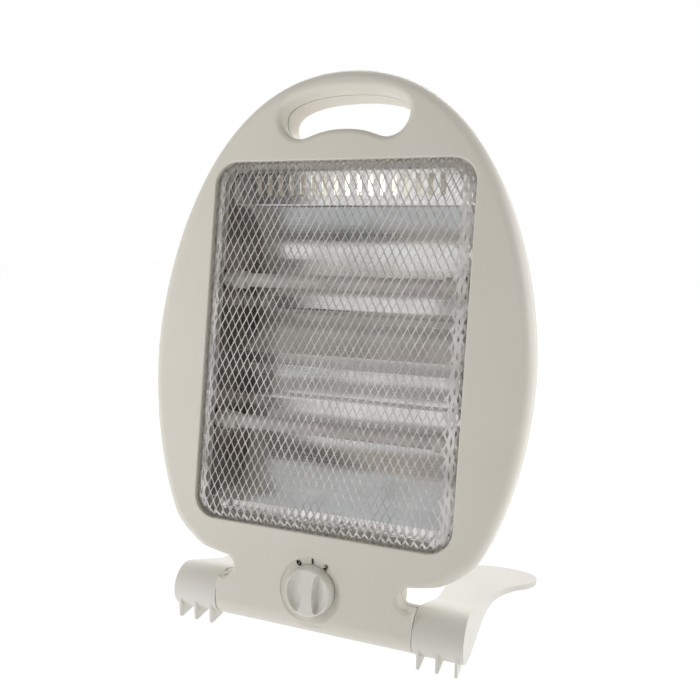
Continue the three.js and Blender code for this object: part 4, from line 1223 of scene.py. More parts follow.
@dataclass
class Casing:
    """Front and rear shell with the neck and the bar."""

    finishes: Finishes
    wall: float = 2.4
    inner_round: float = 0.6  # share of the wall that an inner rounding is smaller by
    edge: float = 8.0
    notch_edge: float = 3.2
    bar_edges: tuple[float, ...] = (1.92, 0.8, 0.8, 0.0)
    parting: float = 12.0
    joint: float = 1.3
    joint_bevel: float = 0.3
    step: float = 0.1
    tongue_sides: Flat = (0.9, 2.3)
    tongue_ends: Flat = (0.05, 0.5)
    rim_depth: float = 35.0
    rim_round: float = 9.0
    housing_depth: float = 62.0
    housing_margin: float = 17.0
    housing_lift: Flat = (4.0, 8.0)
    housing_corner: float = 54.0
    housing_draft: float = 5.0
    housing_round: float = 9.0
    housing_root: float = 8.0
    housing_foot: float = 2.6
    foot_steps: tuple[Flat, ...] = ((0.0, 0.0), (0.45, 0.1), (0.8, 0.4))
    foot_rest: float = 0.02
    foot_inset: float = 0.2
    bar_radius: float = 15.0
    bar_chamfer: tuple[Flat, ...] = ((0.0, 0.8), (0.25, 0.25), (0.8, 0.0))
    neck_half: float = 59.5
    neck_depth: float = 30.0
    neck_round: float = 4.0
    neck_top: float = 64.0
    neck_hollow_top: float = 66.0
    band_top: float = 62.0
    band_inset: float = 0.3
    band_depth: float = 17.0
    reveal: float = 14.0
    window_wall: float = 3.0
    window_lip: float = 1.1
    handle_wall: float = 3.8
    handle_lip: float = 5.0
    handle_gap: float = 0.5
    knob_height: float = 39.2
    dial_lip: float = 22.7
    dial_edge: float = 0.9
    dial_dish: tuple[Flat, ...] = ((1.0, 21.3), (2.3, 17.1), (2.5, 16.6))
    dial_boss: Flat = (24.6, 4.9)
    shaft_room: float = 3.6
    shaft_end: float = 8.0
    spigot_room: float = 8.0
    spigot_reach: float = 8.0
    boss_radius: float = 4.0
    well_radius: float = 5.0
    boss_split: float = 18.0
    well_gaps: Flat = (0.3, 0.4)
    screw_room: float = 1.7
    pilot_start: float = 8.0
    head_room: float = 3.4
    head_sunk: float = 6.0
    screw_places: tuple[tuple[str, float, float, float], ...] = (
        ("crown", 61.916, 351.0, 35.0),
        ("side", 121.6, 171.05, 35.0),
        ("neck", 50.5, 46.8, 30.0),
    )
    vent_columns: Flat = (-28.0, 28.0)
    vent_rows: int = 6
    vent_pitch: float = 10.0
    vent_half: float = 23.0
    vent_radius: float = 2.0
    vent_top: float = 24.0
    vent_bottom: float = 22.0
    vent_depth: float = 5.0
    cord_radius: float = 4.9
    cord_span: Flat = (21.0, 33.0)
    cord_place: Flat = (30.0, 42.2)

    def screws(self) -> list[ShellScrew]:
        """The shell screws on both sides.

        Returns:
            Three to the left and three to the right.
        """
        return [
            ShellScrew(f"{name}_{side.value}_shell_screw", side.sign * x, height, back)
            for name, x, height, back in self.screw_places
            for side in Side
        ]

    def at_screws(self, radius: float, span: Callable[[float], Flat], sides: int = 32) -> list[Piece]:
        """Rods at the shell screws, with a span that is given for the depth of the shell's back there."""
        return [rod(Axis.THROUGH, radius, span(s.back), (s.x, s.height), sides) for s in self.screws()]

    def bar(self, inset: float) -> Piece:
        """The round bar along the bottom, with slightly rounded ends.

        Args:
            inset: How far it is drawn in.

        Returns:
            The body.
        """
        radius, half = self.bar_radius - inset, OUTLINES.bar_half - inset
        left = [(along - half, radius - less) for along, less in self.bar_chamfer]
        return turned([*left, *((-x, r) for x, r in reversed(left))], Axis.ACROSS, HUB_CENTRE, 96)

    def bar_bores(self) -> list[Piece]:
        """Bores in the bar's ends for the feet's spigots.

        Returns:
            The cutting bodies.
        """
        half = OUTLINES.bar_half
        spans = (sorted((s.sign * (half - self.spigot_reach), s.sign * (half + 2 * OVERLAP))) for s in Side)
        return [rod(Axis.ACROSS, self.spigot_room, span, HUB_CENTRE) for span in spans]

    def front_loop(self) -> EdgedLoop:
        """The front's outline with the neck, and its roundings."""
        return OUTLINES.with_neck(self.edge, self.notch_edge, self.bar_edges)

    def front_body(self, inset: float) -> Piece:
        """Front of the casing with the neck, solid, drawn in by an inset.

        Args:
            inset: How far it is drawn in.

        Returns:
            The body.
        """
        loop, rounds = self.front_loop()
        normals = inward(loop)
        rings = []
        for share, advance in quarter(4 if inset else 10):
            ring = []
            for (x, z), (nx, nz), round_here in zip(loop, normals, rounds):
                radius = max(round_here - self.inner_round * inset, 0.0)
                drawn = inset + radius * share
                ring.append((x + nx * drawn, inset + radius * advance, z + nz * drawn))
            rings.append(ring)
        far = self.parting + (OVERLAP if inset else 0.0)
        rings.append([(x + nx * inset, far, z + nz * inset) for (x, z), (nx, nz) in zip(loop, normals)])
        return loft(rings)

    def dial_recess(self) -> Piece:
        """Cutting body of the dial's shallow dish.

        Returns:
            The cutting body.
        """
        profile = [(-OVERLAP, self.dial_lip)]
        straight = self.dial_lip - self.dial_edge
        profile += [(self.dial_edge * a, straight + self.dial_edge * s) for s, a in quarter(4)]
        return turned([*profile, *self.dial_dish], Axis.THROUGH, (0.0, self.knob_height), 96)

    def front(self) -> Piece:
        """Front shell.

        Returns:
            The body.
        """
        within, dial = self.wall / 2, (0.0, self.knob_height)
        outer = combine(self.front_body(0.0), Operation.JOIN, self.bar(0.0))
        hollow = combine(self.front_body(self.wall), Operation.JOIN, self.bar(self.wall))
        behind = block((AROUND_LOW[0], self.parting, AROUND_LOW[2]), AROUND_HIGH)
        shell = combine(outer, Operation.CUT, hollow, behind)
        combine(
            shell,
            Operation.JOIN,
            slab(OUTLINES.window(self.window_wall), within, self.reveal),
            slab(OUTLINES.handle(self.handle_wall), within, self.parting),
            rod(Axis.THROUGH, self.dial_boss[0], (within, self.dial_boss[1]), dial, 64),
            *self.at_screws(self.boss_radius, lambda _: (within, self.boss_split)),
        )
        return combine(
            shell,
            Operation.CUT,
            flared(OUTLINES.window, self.window_lip, 0.0, self.reveal + OVERLAP, 6),
            flared(OUTLINES.handle, self.handle_lip, 0.0, self.parting + OVERLAP, 8),
            self.dial_recess(),
            rod(Axis.THROUGH, self.shaft_room, (0.0, self.shaft_end), dial),
            *self.at_screws(self.screw_room, lambda _: (self.pilot_start, self.boss_split + OVERLAP), 16),
            *self.bar_bores(),
        )

    def rear_oval(self, shrink: float) -> Piece:
        """Rim behind the joint, solid.

        Args:
            shrink: How far it is drawn in, 0 outside.

        Returns:
            The body.
        """
        oval = OUTLINES.oval()
        start = self.parting + self.joint - (OVERLAP if shrink else 0.0)
        side = self.step + shrink
        lip = 0.0 if shrink else self.joint_bevel
        rings = [(side + lip, start), (side, start + lip + SLIVER)]
        rings += rounded_back(side, self.rim_depth - shrink, self.rim_round - self.inner_round * shrink, 8)
        return loft([[(x, depth, z) for x, z in shrunk(oval, inset)] for inset, depth in rings])

    def tongue(self) -> Piece:
        """Thin ridge on the rim that closes the joint between the shells.

        Returns:
            The body.
        """
        outside, inside = (shrunk(OUTLINES.oval(), inset) for inset in self.tongue_sides)
        near, far = self.parting + self.tongue_ends[0], self.parting + self.joint + self.tongue_ends[1]
        return combine(slab(outside, near, far), Operation.CUT, slab(inside, near - OVERLAP, far + OVERLAP))

    def housing_ring(self, shrink: float, inset: float, depth: float) -> list[Point]:
        """One ring of the housing at a depth.

        Args:
            shrink: How far it is drawn in, 0 outside.
            inset: What it is drawn in further.
            depth: Its depth.

        Returns:
            The points.
        """
        grow = self.housing_margin - shrink - inset
        low = OUTLINES.sill - grow + self.housing_lift[0]
        high = OUTLINES.window_top + grow - self.housing_lift[1]
        outline = round_rectangle(OUTLINES.window_half + grow, low, high, self.housing_corner - inset, 14)
        return [(x, depth, z) for x, z in outline]

    def housing(self, shrink: float) -> Piece:
        """Raised housing on the back, solid, with a soft foot where it leaves the rim.

        Args:
            shrink: How far it is drawn in, 0 outside.

        Returns:
            The body.
        """
        back, base, foot = self.housing_depth - shrink, self.rim_depth - shrink, self.housing_foot
        rings = [(0.0, base - self.housing_root)]
        if not shrink:
            start = base - self.foot_rest
            rings += [(foot * (inset - 1), start + foot * rise) for inset, rise in self.foot_steps]
        rings.append((self.foot_inset, base + foot))
        rings += rounded_back(self.housing_draft, back, self.housing_round, 8)
        return loft([self.housing_ring(shrink, inset, depth) for inset, depth in rings])

    def rear_neck(self, shrink: float) -> Piece:
        """Back of the neck, solid, with round back edges.

        Args:
            shrink: How far it is drawn in, 0 outside.

        Returns:
            The body.
        """
        half = self.neck_half - shrink
        start = self.parting + self.joint - (OVERLAP if shrink else 0.0)
        top = self.neck_hollow_top if shrink else self.neck_top
        low = OUTLINES.hub_line - OVERLAP
        rings = [(0.0, start), *rounded_back(0.0, self.neck_depth - shrink, self.neck_round, 6)]
        corners = ((1, low), (-1, low), (-1, top), (1, top))
        return loft([[(sign * (half - inset), depth, z) for sign, z in corners] for inset, depth in rings])

    def rear_notch_band(self) -> Piece:
        """Thin band behind the joint with the notches in its sides."""
        low = [(x, z) for x, z in self.front_loop()[0] if z < self.band_top]
        return slab(shrunk(low, self.band_inset), self.parting + self.joint, self.band_depth)

    def vents(self) -> list[Piece]:
        """Cutting bodies of the slots with round ends in the back.

        Returns:
            The cutting bodies.
        """
        slots = []
        radius, reach = self.vent_radius, self.vent_half - self.vent_radius
        span = (self.housing_depth - self.vent_depth, self.housing_depth + OVERLAP)
        for x in self.vent_columns:
            for row in range(self.vent_rows):
                high = OUTLINES.window_top - self.vent_top - self.vent_pitch * row
                low = OUTLINES.sill + self.vent_bottom + self.vent_pitch * row
                for middle in (high + radius, low + radius):
                    right = arc((x + reach, middle), radius, -90, 90, 8)
                    left = arc((x - reach, middle), radius, 90, 270, 8)
                    slots.append(slab([*right, *left], *span))
        return slots

    def rear(self) -> Piece:
        """Rear shell.

        Returns:
            The body.
        """
        solid, hollow = (
            combine(
                self.rear_oval(shrink),
                Operation.JOIN,
                self.housing(shrink),
                self.rear_neck(shrink),
                *([] if shrink else [self.rear_notch_band()]),
                self.bar(shrink),
            )
            for shrink in (0.0, self.wall)
        )
        shell = combine(solid, Operation.CUT, hollow)
        start = self.parting + self.joint
        split, (near_gap, far_gap) = self.boss_split, self.well_gaps
        combine(
            shell,
            Operation.JOIN,
            slab(OUTLINES.handle(self.handle_wall), start, self.rim_depth - self.handle_gap),
            *self.at_screws(self.well_radius, lambda back: (split + near_gap, back - far_gap)),
        )
        combine(
            shell,
            Operation.CUT,
            block(AROUND_LOW, (AROUND_HIGH[0], start, AROUND_HIGH[2])),
            flared(OUTLINES.handle, self.handle_lip, self.rim_depth, start - OVERLAP, 8),
            *self.at_screws(self.head_room, lambda back: (back - self.head_sunk, back + 2 * OVERLAP)),
            *self.at_screws(self.screw_room, lambda back: (split - OVERLAP, back), 16),
            *self.bar_bores(),
            *self.vents(),
            rod(Axis.THROUGH, self.cord_radius, self.cord_span, self.cord_place),
        )
        return combine(shell, Operation.JOIN, self.tongue())

    def build(self) -> None:
        """Makes both shells and their screws."""
        self.finishes.place(self.front(), "casing_front", "casing_plastic", "front_shell")
        self.finishes.place(self.rear(), "casing_rear", "casing_plastic", "rear_shell")
        for screw in self.screws():
            self.finishes.place(screw.shaped(), f"{screw.name}_cross_head", "plated_steel", screw.name)


# ---- Guard ----
@dataclass
class Guard:
    """Expanded-metal tray: a net of tall diamonds, folded back along its sides.

    Points of the flat net are given across and up from its middle.
    """

    finishes: Finishes
    pitch_x: float = 5.5
    pitch_z: float = 10.7
    strand: float = 0.28
    twist: float = 0.26
    sheet: float = 0.36
    depth: float = -1.0
    tray_depth: float = 3.6
    flat_half: float = 83.4
    flat_height: float = 118.9
    corner: float = 11.0
    side_slope: float = 9.2
    end_slope: float = 6.4
    bend: float = 1.3
    centre: float = 201.8
    crumple: float = 0.45
    crumple_start: float = 2.0
    crumple_waves: tuple[Flat, Flat] = ((2.1, 1.3), (-0.7, 0.9))
    press_start: float = 0.8
    press_width: float = 1.5
    pressed_side: Flat = (0.15, 0.48)
    pressed_end: Flat = (0.5, 0.8)
    pressed_up: Flat = (0.5, 0.85)
    spare: tuple[int, int] = (3, 4)  # columns and rows that are tried past the tray
    border: float = 1.9
    pinch: Flat = (0.02, 0.05)
    strand_steps: int = 3
    grid: float = 100.0  # corners closer than one part of this, in millimetres, are one corner
    draw: int = 7

    @property
    def half_cell(self) -> Vector:
        """Half a diamond, across and up."""
        return Vector((self.pitch_x / 2, self.pitch_z / 2))

    def sides(self, x: float, z: float) -> tuple[float, Vector, float]:
        """Where a point of the flat net comes to lie on the tray's sides.

        Args:
            x: Across.
            z: Up.

        Returns:
            How far the point lies past the bend, the way outwards there, and how wide the side is.
        """
        inner = Vector((self.flat_half - self.corner, self.flat_height - self.corner))
        away = Vector((max(abs(x) - inner.x, 0.0), max(abs(z) - inner.y, 0.0)))
        if away.length == 0.0:
            return -self.corner, Vector((0.0, 0.0)), self.side_slope
        out = away.normalized()
        slope = self.side_slope * out.x**2 + self.end_slope * out.y**2
        return away.length - self.corner, Vector((math.copysign(out.x, x), math.copysign(out.y, z))), slope

    def crumpled(self, x: float, z: float, reach: float) -> float:
        """How far the pressed sides stand off their true shape.

        Args:
            x: Across.
            z: Up.
            reach: How far past the bend.

        Returns:
            The distance.
        """
        (first_x, first_z), (second_x, second_z) = self.crumple_waves
        height = self.crumple * min(reach / self.crumple_start, 1.0)
        return height * math.sin(first_x * x + first_z * z) * math.sin(second_z * z + second_x * x)

    def fold(self, x: float, z: float) -> tuple[Vector, Vector]:
        """Folds a point of the flat net over the tray.

        Args:
            x: Across.
            z: Up.

        Returns:
            The place in the casing's frame, and the net's normal there, forwards.
        """
        reach, out, slope = self.sides(x, z)
        forward = Vector((0.0, -1.0, 0.0))
        if reach <= 0.0:
            return Vector((x, self.depth, self.centre + z)), forward
        outward = Vector((out.x, 0.0, out.y))
        edge = Vector((x, 0.0, z)) - outward * reach
        fall = math.atan2(self.tray_depth - self.depth, slope)
        turn = min(reach / self.bend, fall)
        run = max(reach - self.bend * fall, 0.0)
        across = self.bend * math.sin(turn) + run * math.cos(fall)
        down = self.bend * (1 - math.cos(turn)) + run * math.sin(fall)
        depth = self.depth + down + self.crumpled(x, z, reach)
        place_here = edge + outward * across + Vector((0.0, depth, self.centre))
        return place_here, forward * math.cos(turn) + outward * math.sin(turn)

    def opening(self, x: float, z: float, chance: random.Random) -> Flat:
        """How open a diamond is: pressing the sides down has closed those past the bend.

        Args:
            x: Across.
            z: Up.
            chance: Draws the unevenness.

        Returns:
            Shares of the full width and height.
        """
        reach, out, _ = self.sides(x, z)
        pressed = min(max((reach + self.press_start) / self.press_width, 0.0), 1.0)
        narrow = chance.uniform(*(self.pressed_side if abs(out.x) > abs(out.y) else self.pressed_end))
        low = chance.uniform(*self.pressed_up)
        return (1 + (narrow - 1) * pressed, 1 + (low - 1) * pressed)

    def cells(self) -> list[Flat]:
        """Middles of the diamonds whose cells lie on the tray.

        Returns:
            The middles.
        """
        columns = int((self.flat_half + self.side_slope) / self.pitch_x) + self.spare[0]
        rows = int((self.flat_height + self.end_slope) / self.pitch_z * 2) + self.spare[1]
        found = []
        for row in range(-rows, rows + 1):
            shift = 0.5 * (row % 2)
            for column in range(-columns, columns + 1):
                x, z = (column + shift) * self.pitch_x, row * self.pitch_z / 2
                reach, _, slope = self.sides(x, z)
                if reach < math.hypot(self.tray_depth - self.depth, slope) - self.border:
                    found.append((x, z))
        return found

    def strands(self) -> list[tuple[float, float, float]]:
        """Points round one diamond's cell, as (x, z, share of the way out to the strand's edge).

        Returns:
            The points in order.
        """
        half = self.half_cell
        side_share = 1 - self.strand / (half.x * half.y / half.length)
        tips = [(1.0, 0.0), (0.0, 1.0), (-1.0, 0.0), (0.0, -1.0)]
        rim = []
        for tip, after in zip(tips, [*tips[1:], tips[0]]):
            for k in range(self.strand_steps):
                share = k / self.strand_steps
                x, z = (tip[j] + (after[j] - tip[j]) * share for j in (0, 1))
                pinch = 0.0 if k else self.pinch[int(tip[1] != 0.0)]
                rim.append((x, z, side_share - pinch))
        return rim

    def net(self) -> Piece:
        """The net as a skin without thickness.

        Returns:
            The skin.
        """
        half, rim = self.half_cell, self.strands()
        points: list[Vector] = []
        faces: list[Sequence[int]] = []
        known: dict[tuple[int, int], int] = {}
        chance = random.Random(self.draw)
        for cx, cz in self.cells():
            open_x, open_z = self.opening(cx, cz, chance)
            outer, inner = [], []
            for x, z, share in rim:
                px, pz = cx + x * half.x, cz + z * half.y
                key = (round(px * self.grid), round(pz * self.grid))
                if key not in known:
                    known[key] = len(points)
                    points.append(self.fold(px, pz)[0])
                outer.append(known[key])
                here, normal = self.fold(cx + x * share * half.x * open_x, cz + z * share * half.y * open_z)
                inner.append(len(points))
                points.append(here + normal * self.twist * x)
            for i in range(len(rim)):
                j = (i + 1) % len(rim)
                faces.append((outer[i], outer[j], inner[j], inner[i]))
        return body_of([tuple(p) for p in points], faces)

    def build(self) -> None:
        """Makes the net and thickens it."""
        net = self.net()
        thicken = net.modifiers.new("sheet", "SOLIDIFY")
        thicken.thickness = self.sheet
        thicken.offset = 0.0
        settle(net)
        self.finishes.place(net, "guard_mesh", "guard_steel", "guard", crease=50.0)


# ---- Reflector and tubes ----
@dataclass
class HeatingUnit:
    """Folded reflector, quartz tubes with their windings, ceramic caps and spring clips."""

    finishes: Finishes
    half: float = 89.5
    sheet: float = 0.8
    front: float = 15.4
    lower: float = 144.5
    upper: float = 246.5
    trough_depth: float = 46.0
    trough_half: float = 51.0
    trough_steps: int = 20
    floor_below: float = 3.5
    roof_above: float = 1.5
    bend_drop: tuple[float, ...] = (0.0, 0.0, 0.15, 0.6, 1.4, 2.4)
    bend_up: tuple[float, ...] = (5.0, 16.5, 18.0, 20.0, 22.0, 24.0)
    flank: tuple[Flat, ...] = ((10.3, 9.5), (11.0, 8.5))
    ridge_depth: float = 29.0
    ridge_half: float = 0.4
    ridge_bead: float = 0.5
    lip_depth: float = 21.0
    lip_foot: float = 3.0
    lip_lean: float = 0.6
    lip_height: float = 5.5
    panel_low: float = 302.0
    panel_high: float = 325.8
    slots: int = 17
    slot_pitch: float = 8.4
    slot_radius: float = 1.7
    slot_margin: float = 0.2
    slot_room: Flat = (2.0, 3.0)
    sheet_spans: int = 36
    dent_height: float = 0.3
    dent_waves: Ramp = (23.0, 31.0, 17.0, 47.0)
    tube_depth: float = 20.0
    tube_radius: float = 5.0
    tube_wall: float = 1.0
    cap_radius: float = 6.4
    cap_length: float = 17.0
    cap_chamfer: float = 0.4
    cap_neck: float = 4.4
    neck_length: float = 5.0
    cap_bore: float = 1.4
    tube_in_cap: float = 5.0
    tube_play: float = 0.35
    play: float = 0.3
    coil_radius: float = 2.9
    coil_short: float = 4.0
    coil_lead: float = 2.0
    coil_turns: int = 72
    coil_steps: int = 14
    pin_length: float = 5.0
    wire: float = 0.32
    clip_sheet: float = 0.7
    clip_mouth: float = 40.0
    clip_edge: float = 0.15
    clip_lip: Flat = (2.4, 0.2)
    clip_span: Flat = (7.0, 3.0)

    def profile(self) -> list[Flat]:
        """Front side of the reflector from its bottom lip to its top lip, as (depth, height) points.

        Returns:
            The points.
        """
        ridge = (self.lower + self.upper) / 2
        deep, crest, bead = self.trough_depth, self.ridge_depth, self.ridge_bead
        bottom, top = self.lower - self.trough_half, self.panel_low
        floor, roof = self.lower - self.floor_below, self.upper + self.roof_above
        shares = [i / self.trough_steps for i in range(self.trough_steps + 1)]
        bend = list(zip(self.bend_drop, self.bend_up))

        def curved(share: float) -> float:
            """Depth of a trough's curve, a share of the way out of the trough."""
            return deep - (deep - self.lip_depth) * share * share

        return [
            (self.front, OUTLINES.sill + self.lip_foot),
            (self.front + self.lip_lean, bottom - self.lip_height),
            *((curved(share), floor - (floor - bottom) * share) for share in reversed(shares)),
            *((deep - drop, self.lower + up) for drop, up in bend),
            *((deep - drop, ridge - below) for drop, below in self.flank),
            (crest, ridge - self.ridge_half),
            (crest - bead, ridge - bead / 2),
            (crest - bead, ridge + bead / 2),
            (crest, ridge + self.ridge_half),
            *((deep - drop, self.upper - up) for drop, up in reversed(bend)),
            *((curved(share), roof + (top - roof) * share) for share in shares),
            (self.front, self.panel_high),
        ]

    def dent(self, x: float, z: float) -> float:
        """How far the thin sheet stands off its true shape."""
        a, b, c, d = self.dent_waves
        return self.dent_height * math.sin(x / a + z / b) * math.sin(z / c - x / d)

    def reflector(self) -> None:
        """Makes the folded sheet, a little uneven, with slots in its top panel."""
        face = self.profile()
        rings = []
        for i in range(self.sheet_spans + 1):
            x = -self.half + 2 * self.half * i / self.sheet_spans
            near = [(x, y + self.dent(x, z), z) for y, z in face]
            rings.append([*near, *((px, py + self.sheet, pz) for px, py, pz in reversed(near))])
        margin, radius = self.slot_margin * (self.panel_high - self.panel_low), self.slot_radius
        low, high = self.panel_low + margin + radius, self.panel_high - margin - radius
        span = (self.front - self.slot_room[0], self.lip_depth + self.slot_room[1])
        slots = []
        for i in range(self.slots):
            x = (i - self.slots // 2) * self.slot_pitch
            ends = [*arc((x, high), radius, 0, 180, 8), *arc((x, low), radius, 180, 360, 8)]
            slots.append(slab(ends, *span))
        sheet = combine(loft(rings), Operation.CUT, *slots)
        self.finishes.place(sheet, "reflector_troughs", "reflector_sheet", "reflector")

    def tube(self, level: Level, height: float) -> None:
        """Makes one quartz tube with its winding.

        Args:
            level: Which tube.
            height: Height of the tube.
        """
        half = self.half - self.cap_length + self.tube_in_cap
        inner = self.tube_radius - self.tube_wall
        profile = [(-half, inner), (-half, self.tube_radius), (half, self.tube_radius), (half, inner)]
        glass = turned(profile, Axis.ACROSS, (self.tube_depth, height), 56, closed=True)
        name = level.value
        self.finishes.place(glass, f"{name}_tube_glass", "quartz", f"{name}_quartz_tube")
        winding, node = self.winding(height), f"{name}_heating_element"
        self.finishes.place(winding, f"{name}_tube_winding", "element_wire", node, crease=60.0)

    def winding(self, height: float) -> Piece:
        """One wound wire with a straight pin out of each end.

        Args:
            height: Height of the tube.

        Returns:
            The body.
        """
        half, radius = self.half - self.cap_length - self.coil_short, self.coil_radius
        pin = self.half + self.play + self.sheet + self.neck_length + self.pin_length
        ends = [(pin, 0.0, 0.0), (half + self.coil_lead, 0.0, 0.0)]
        path = [(-x, y, z) for x, y, z in ends]
        steps = self.coil_turns * self.coil_steps
        for i in range(steps + 1):
            share = i / steps
            angle = 2 * math.pi * self.coil_turns * share
            path.append((-half + 2 * half * share, radius * math.cos(angle), radius * math.sin(angle)))
        path += reversed(ends)
        return tube_along([Vector((x, self.tube_depth + y, height + z)) for x, y, z in path], self.wire, 6)

    def cap(self, level: Level, side: Side, height: float) -> None:
        """Makes one ceramic cap: a socket for the tube and a neck through the end plate.

        Args:
            level: Which tube.
            side: Which side.
            height: Height of the tube.
        """
        inner, socket = self.half - self.cap_length, self.tube_radius + self.tube_play
        chamfer, edge = self.cap_chamfer, self.cap_radius - self.cap_chamfer
        neck_end = self.half + self.sheet + self.neck_length
        seat = inner + self.tube_in_cap + self.play
        profile = [
            *((inner, socket), (inner, edge), (inner + chamfer, self.cap_radius)),
            *((self.half - chamfer, self.cap_radius), (self.half, edge), (self.half, self.cap_neck)),
            *((neck_end, self.cap_neck), (neck_end, self.cap_bore), (seat, self.cap_bore), (seat, socket)),
        ]
        body = on_side(turned(profile, Axis.ACROSS, (self.tube_depth, height), 48, closed=True), side)
        node = f"{level.value}_{side.value}_end_cap"
        self.finishes.place(body, f"{node}_socket", "cap_ceramic", node)

    def clip(self, level: Level, side: Side, height: float) -> None:
        """Makes one spring clip round a cap, open to the front with turned-out ends.

        Args:
            level: Which tube.
            side: Which side.
            height: Height of the tube.
        """
        inner = self.cap_radius + self.play
        outer = inner + self.clip_sheet
        mouth = math.radians(self.clip_mouth)
        forward, closer = self.clip_lip

        def lip(radius: float, sign: int) -> Flat:
            """One corner of a turned-out end."""
            return (-radius * math.cos(mouth) - forward, sign * (radius * math.sin(mouth) - closer))

        end = 180 - self.clip_mouth
        inside, outside = arc((0.0, 0.0), inner, end, -end, 48), arc((0.0, 0.0), outer, -end, end, 48)
        loop = [lip(inner, 1), *inside, lip(inner, -1), lip(outer, -1), *outside, lip(outer, 1)]
        profile = [(self.tube_depth + y, height + z) for y, z in loop]
        body = beam(profile, *(self.half - before for before in self.clip_span))
        bevelled(body, self.clip_edge, 2, angle=50.0)
        node = f"{level.value}_{side.value}_tube_clip"
        self.finishes.place(on_side(body, side), f"{node}_spring", "plated_steel", node)

    def build(self) -> None:
        """Makes the reflector, and the tubes with what holds them."""
        self.reflector()
        for level, height in ((Level.UPPER, self.upper), (Level.LOWER, self.lower)):
            self.tube(level, height)
            for side in Side:
                self.cap(level, side, height)
                self.clip(level, side, height)


# ---- Knob and dial ----
@dataclass
class PowerKnob:
    """Rotary knob with two scooped pockets, and the numbers round it."""

    finishes: Finishes
    height: float = 39.2
    radius: float = 16.2
    proud: float = 5.5
    back: float = 2.25
    skirt: tuple[Flat, ...] = ((0.0, 0.45), (0.3, 0.5), (0.7, 0.0))
    taper: float = 0.35
    front_edge: Point = (2.0, 1.5, 0.45)  # start of the rounding, its radius, and the taper there
    socket: float = 3.2
    socket_floor: float = 0.9
    grip: float = 3.7
    grip_flare: float = 3.4
    grip_slope: float = 2.0
    rim: float = 1.7
    rim_slope: float = 7.2
    pocket: float = 4.9
    pocket_lips: Flat = (0.6, 0.5)
    pocket_steps: int = 10
    halvings: int = 40
    smoothings: int = 3
    rim_points: int = 26
    grip_points: int = 16
    number_radius: float = 19.3
    number_depth: float = 1.15
    number_size: float = 5.3
    number_weight: float = 0.3
    number_relief: float = 0.03
    dial_slope: float = 19.0
    numbers: tuple[tuple[str, float], ...] = (("0", -30.0), ("1", 0.0), ("2", 30.0))

    def grip_at(self, z: float, drawn: float) -> float:
        """The grip's side at a height, flaring to both ends."""
        return self.grip + drawn + self.grip_flare * (z / self.radius) ** 2

    def scoop_ring(self, at_grip: float, at_rim: float, depth: float) -> list[Point]:
        """One ring of the right pocket.

        Args:
            at_grip: How far the ring is drawn in on the grip's side.
            at_rim: How far it is drawn in on the rim's side.
            depth: Its depth.

        Returns:
            The ring's points.
        """
        reach = self.radius - self.rim - at_rim
        low, high = 0.0, QUARTER_TURN
        for _ in range(self.halvings):
            angle = (low + high) / 2
            if reach * math.cos(angle) > self.grip_at(reach * math.sin(angle), at_grip):
                low = angle
            else:
                high = angle
        end = math.degrees(low)
        points = arc((0.0, 0.0), reach, -end, end, self.rim_points)
        top = points[-1][1]
        for i in range(1, self.grip_points):
            z = top * (1 - 2 * i / self.grip_points)
            points.append((self.grip_at(z, at_grip), z))
        for _ in range(self.smoothings):
            triples = zip(points, [points[-1], *points[:-1]], [*points[1:], points[0]])
            points = [
                tuple(0.5 * here[k] + 0.25 * (before[k] + after[k]) for k in (0, 1))
                for here, before, after in triples
            ]
        return [(x, depth, self.height + z) for x, z in points]

    def scoop(self) -> Piece:
        """Cutting body of the right pocket: steep by the grip, gentle by the rim.

        Returns:
            The cutting body.
        """
        front = -self.proud
        outer, lip = self.pocket_lips
        rings = [self.scoop_ring(-outer, -outer, front - OVERLAP)]
        for i in range(self.pocket_steps + 1):
            angle = QUARTER_TURN * i / self.pocket_steps
            drawn = 1 - math.cos(angle)
            depth = front + self.pocket * math.sin(angle)
            rings.append(self.scoop_ring(self.grip_slope * drawn - lip, self.rim_slope * drawn - lip, depth))
        return loft(rings)

    def knob(self) -> Piece:
        """The knob's body.

        Returns:
            The body.
        """
        front, edge, centre = -self.proud, self.radius, (0.0, self.height)
        start, radius, taper = self.front_edge
        profile = [(self.back - before, edge + wider) for before, wider in self.skirt]
        profile.append((front + start, edge - self.taper))
        profile += [(front + radius * a, edge - taper - radius * s) for s, a in reversed(quarter(6))]
        body = turned(profile, Axis.THROUGH, centre, 96)
        span = (front + self.pocket + self.socket_floor, self.back + OVERLAP)
        socket = rod(Axis.THROUGH, self.socket, span, centre, 32)
        return combine(body, Operation.CUT, self.scoop(), mirrored(self.scoop()), socket)

    def number(self, digit: str, angle: float) -> None:
        """Prints one number on the dial's slope.

        Args:
            digit: The number.
            angle: Its place in degrees from straight up.
        """
        name = f"dial_number_{digit}"
        text = bpy.data.curves.new(name, "FONT")
        text.body = digit
        text.size = self.number_size
        text.align_x = "CENTER"
        text.align_y = "CENTER"
        text.extrude = self.number_relief
        text.offset = self.number_weight
        text.resolution_u = 6
        letter = linked(name, text)
        mesh = evaluated(letter)
        bpy.data.objects.remove(letter)
        bpy.data.curves.remove(text)
        stand = Matrix.Rotation(QUARTER_TURN, 4, "X")
        tilt = Matrix.Rotation(math.radians(self.dial_slope), 4, "X")
        out = Matrix.Translation((0.0, self.number_depth, self.number_radius))
        turn = Matrix.Rotation(math.radians(angle), 4, "Y")
        centre = Matrix.Translation((0.0, 0.0, self.height))
        mesh.transform(centre @ turn @ out @ tilt @ stand)
        self.finishes.place(linked(name, mesh), name, "black_plastic", finish="dial_ink")

    def build(self) -> None:
        """Makes the knob and the numbers."""
        self.finishes.place(self.knob(), "power_knob", "knob_plastic", "control_knob", body="knob")
        for digit, angle in self.numbers:
            self.number(digit, angle)


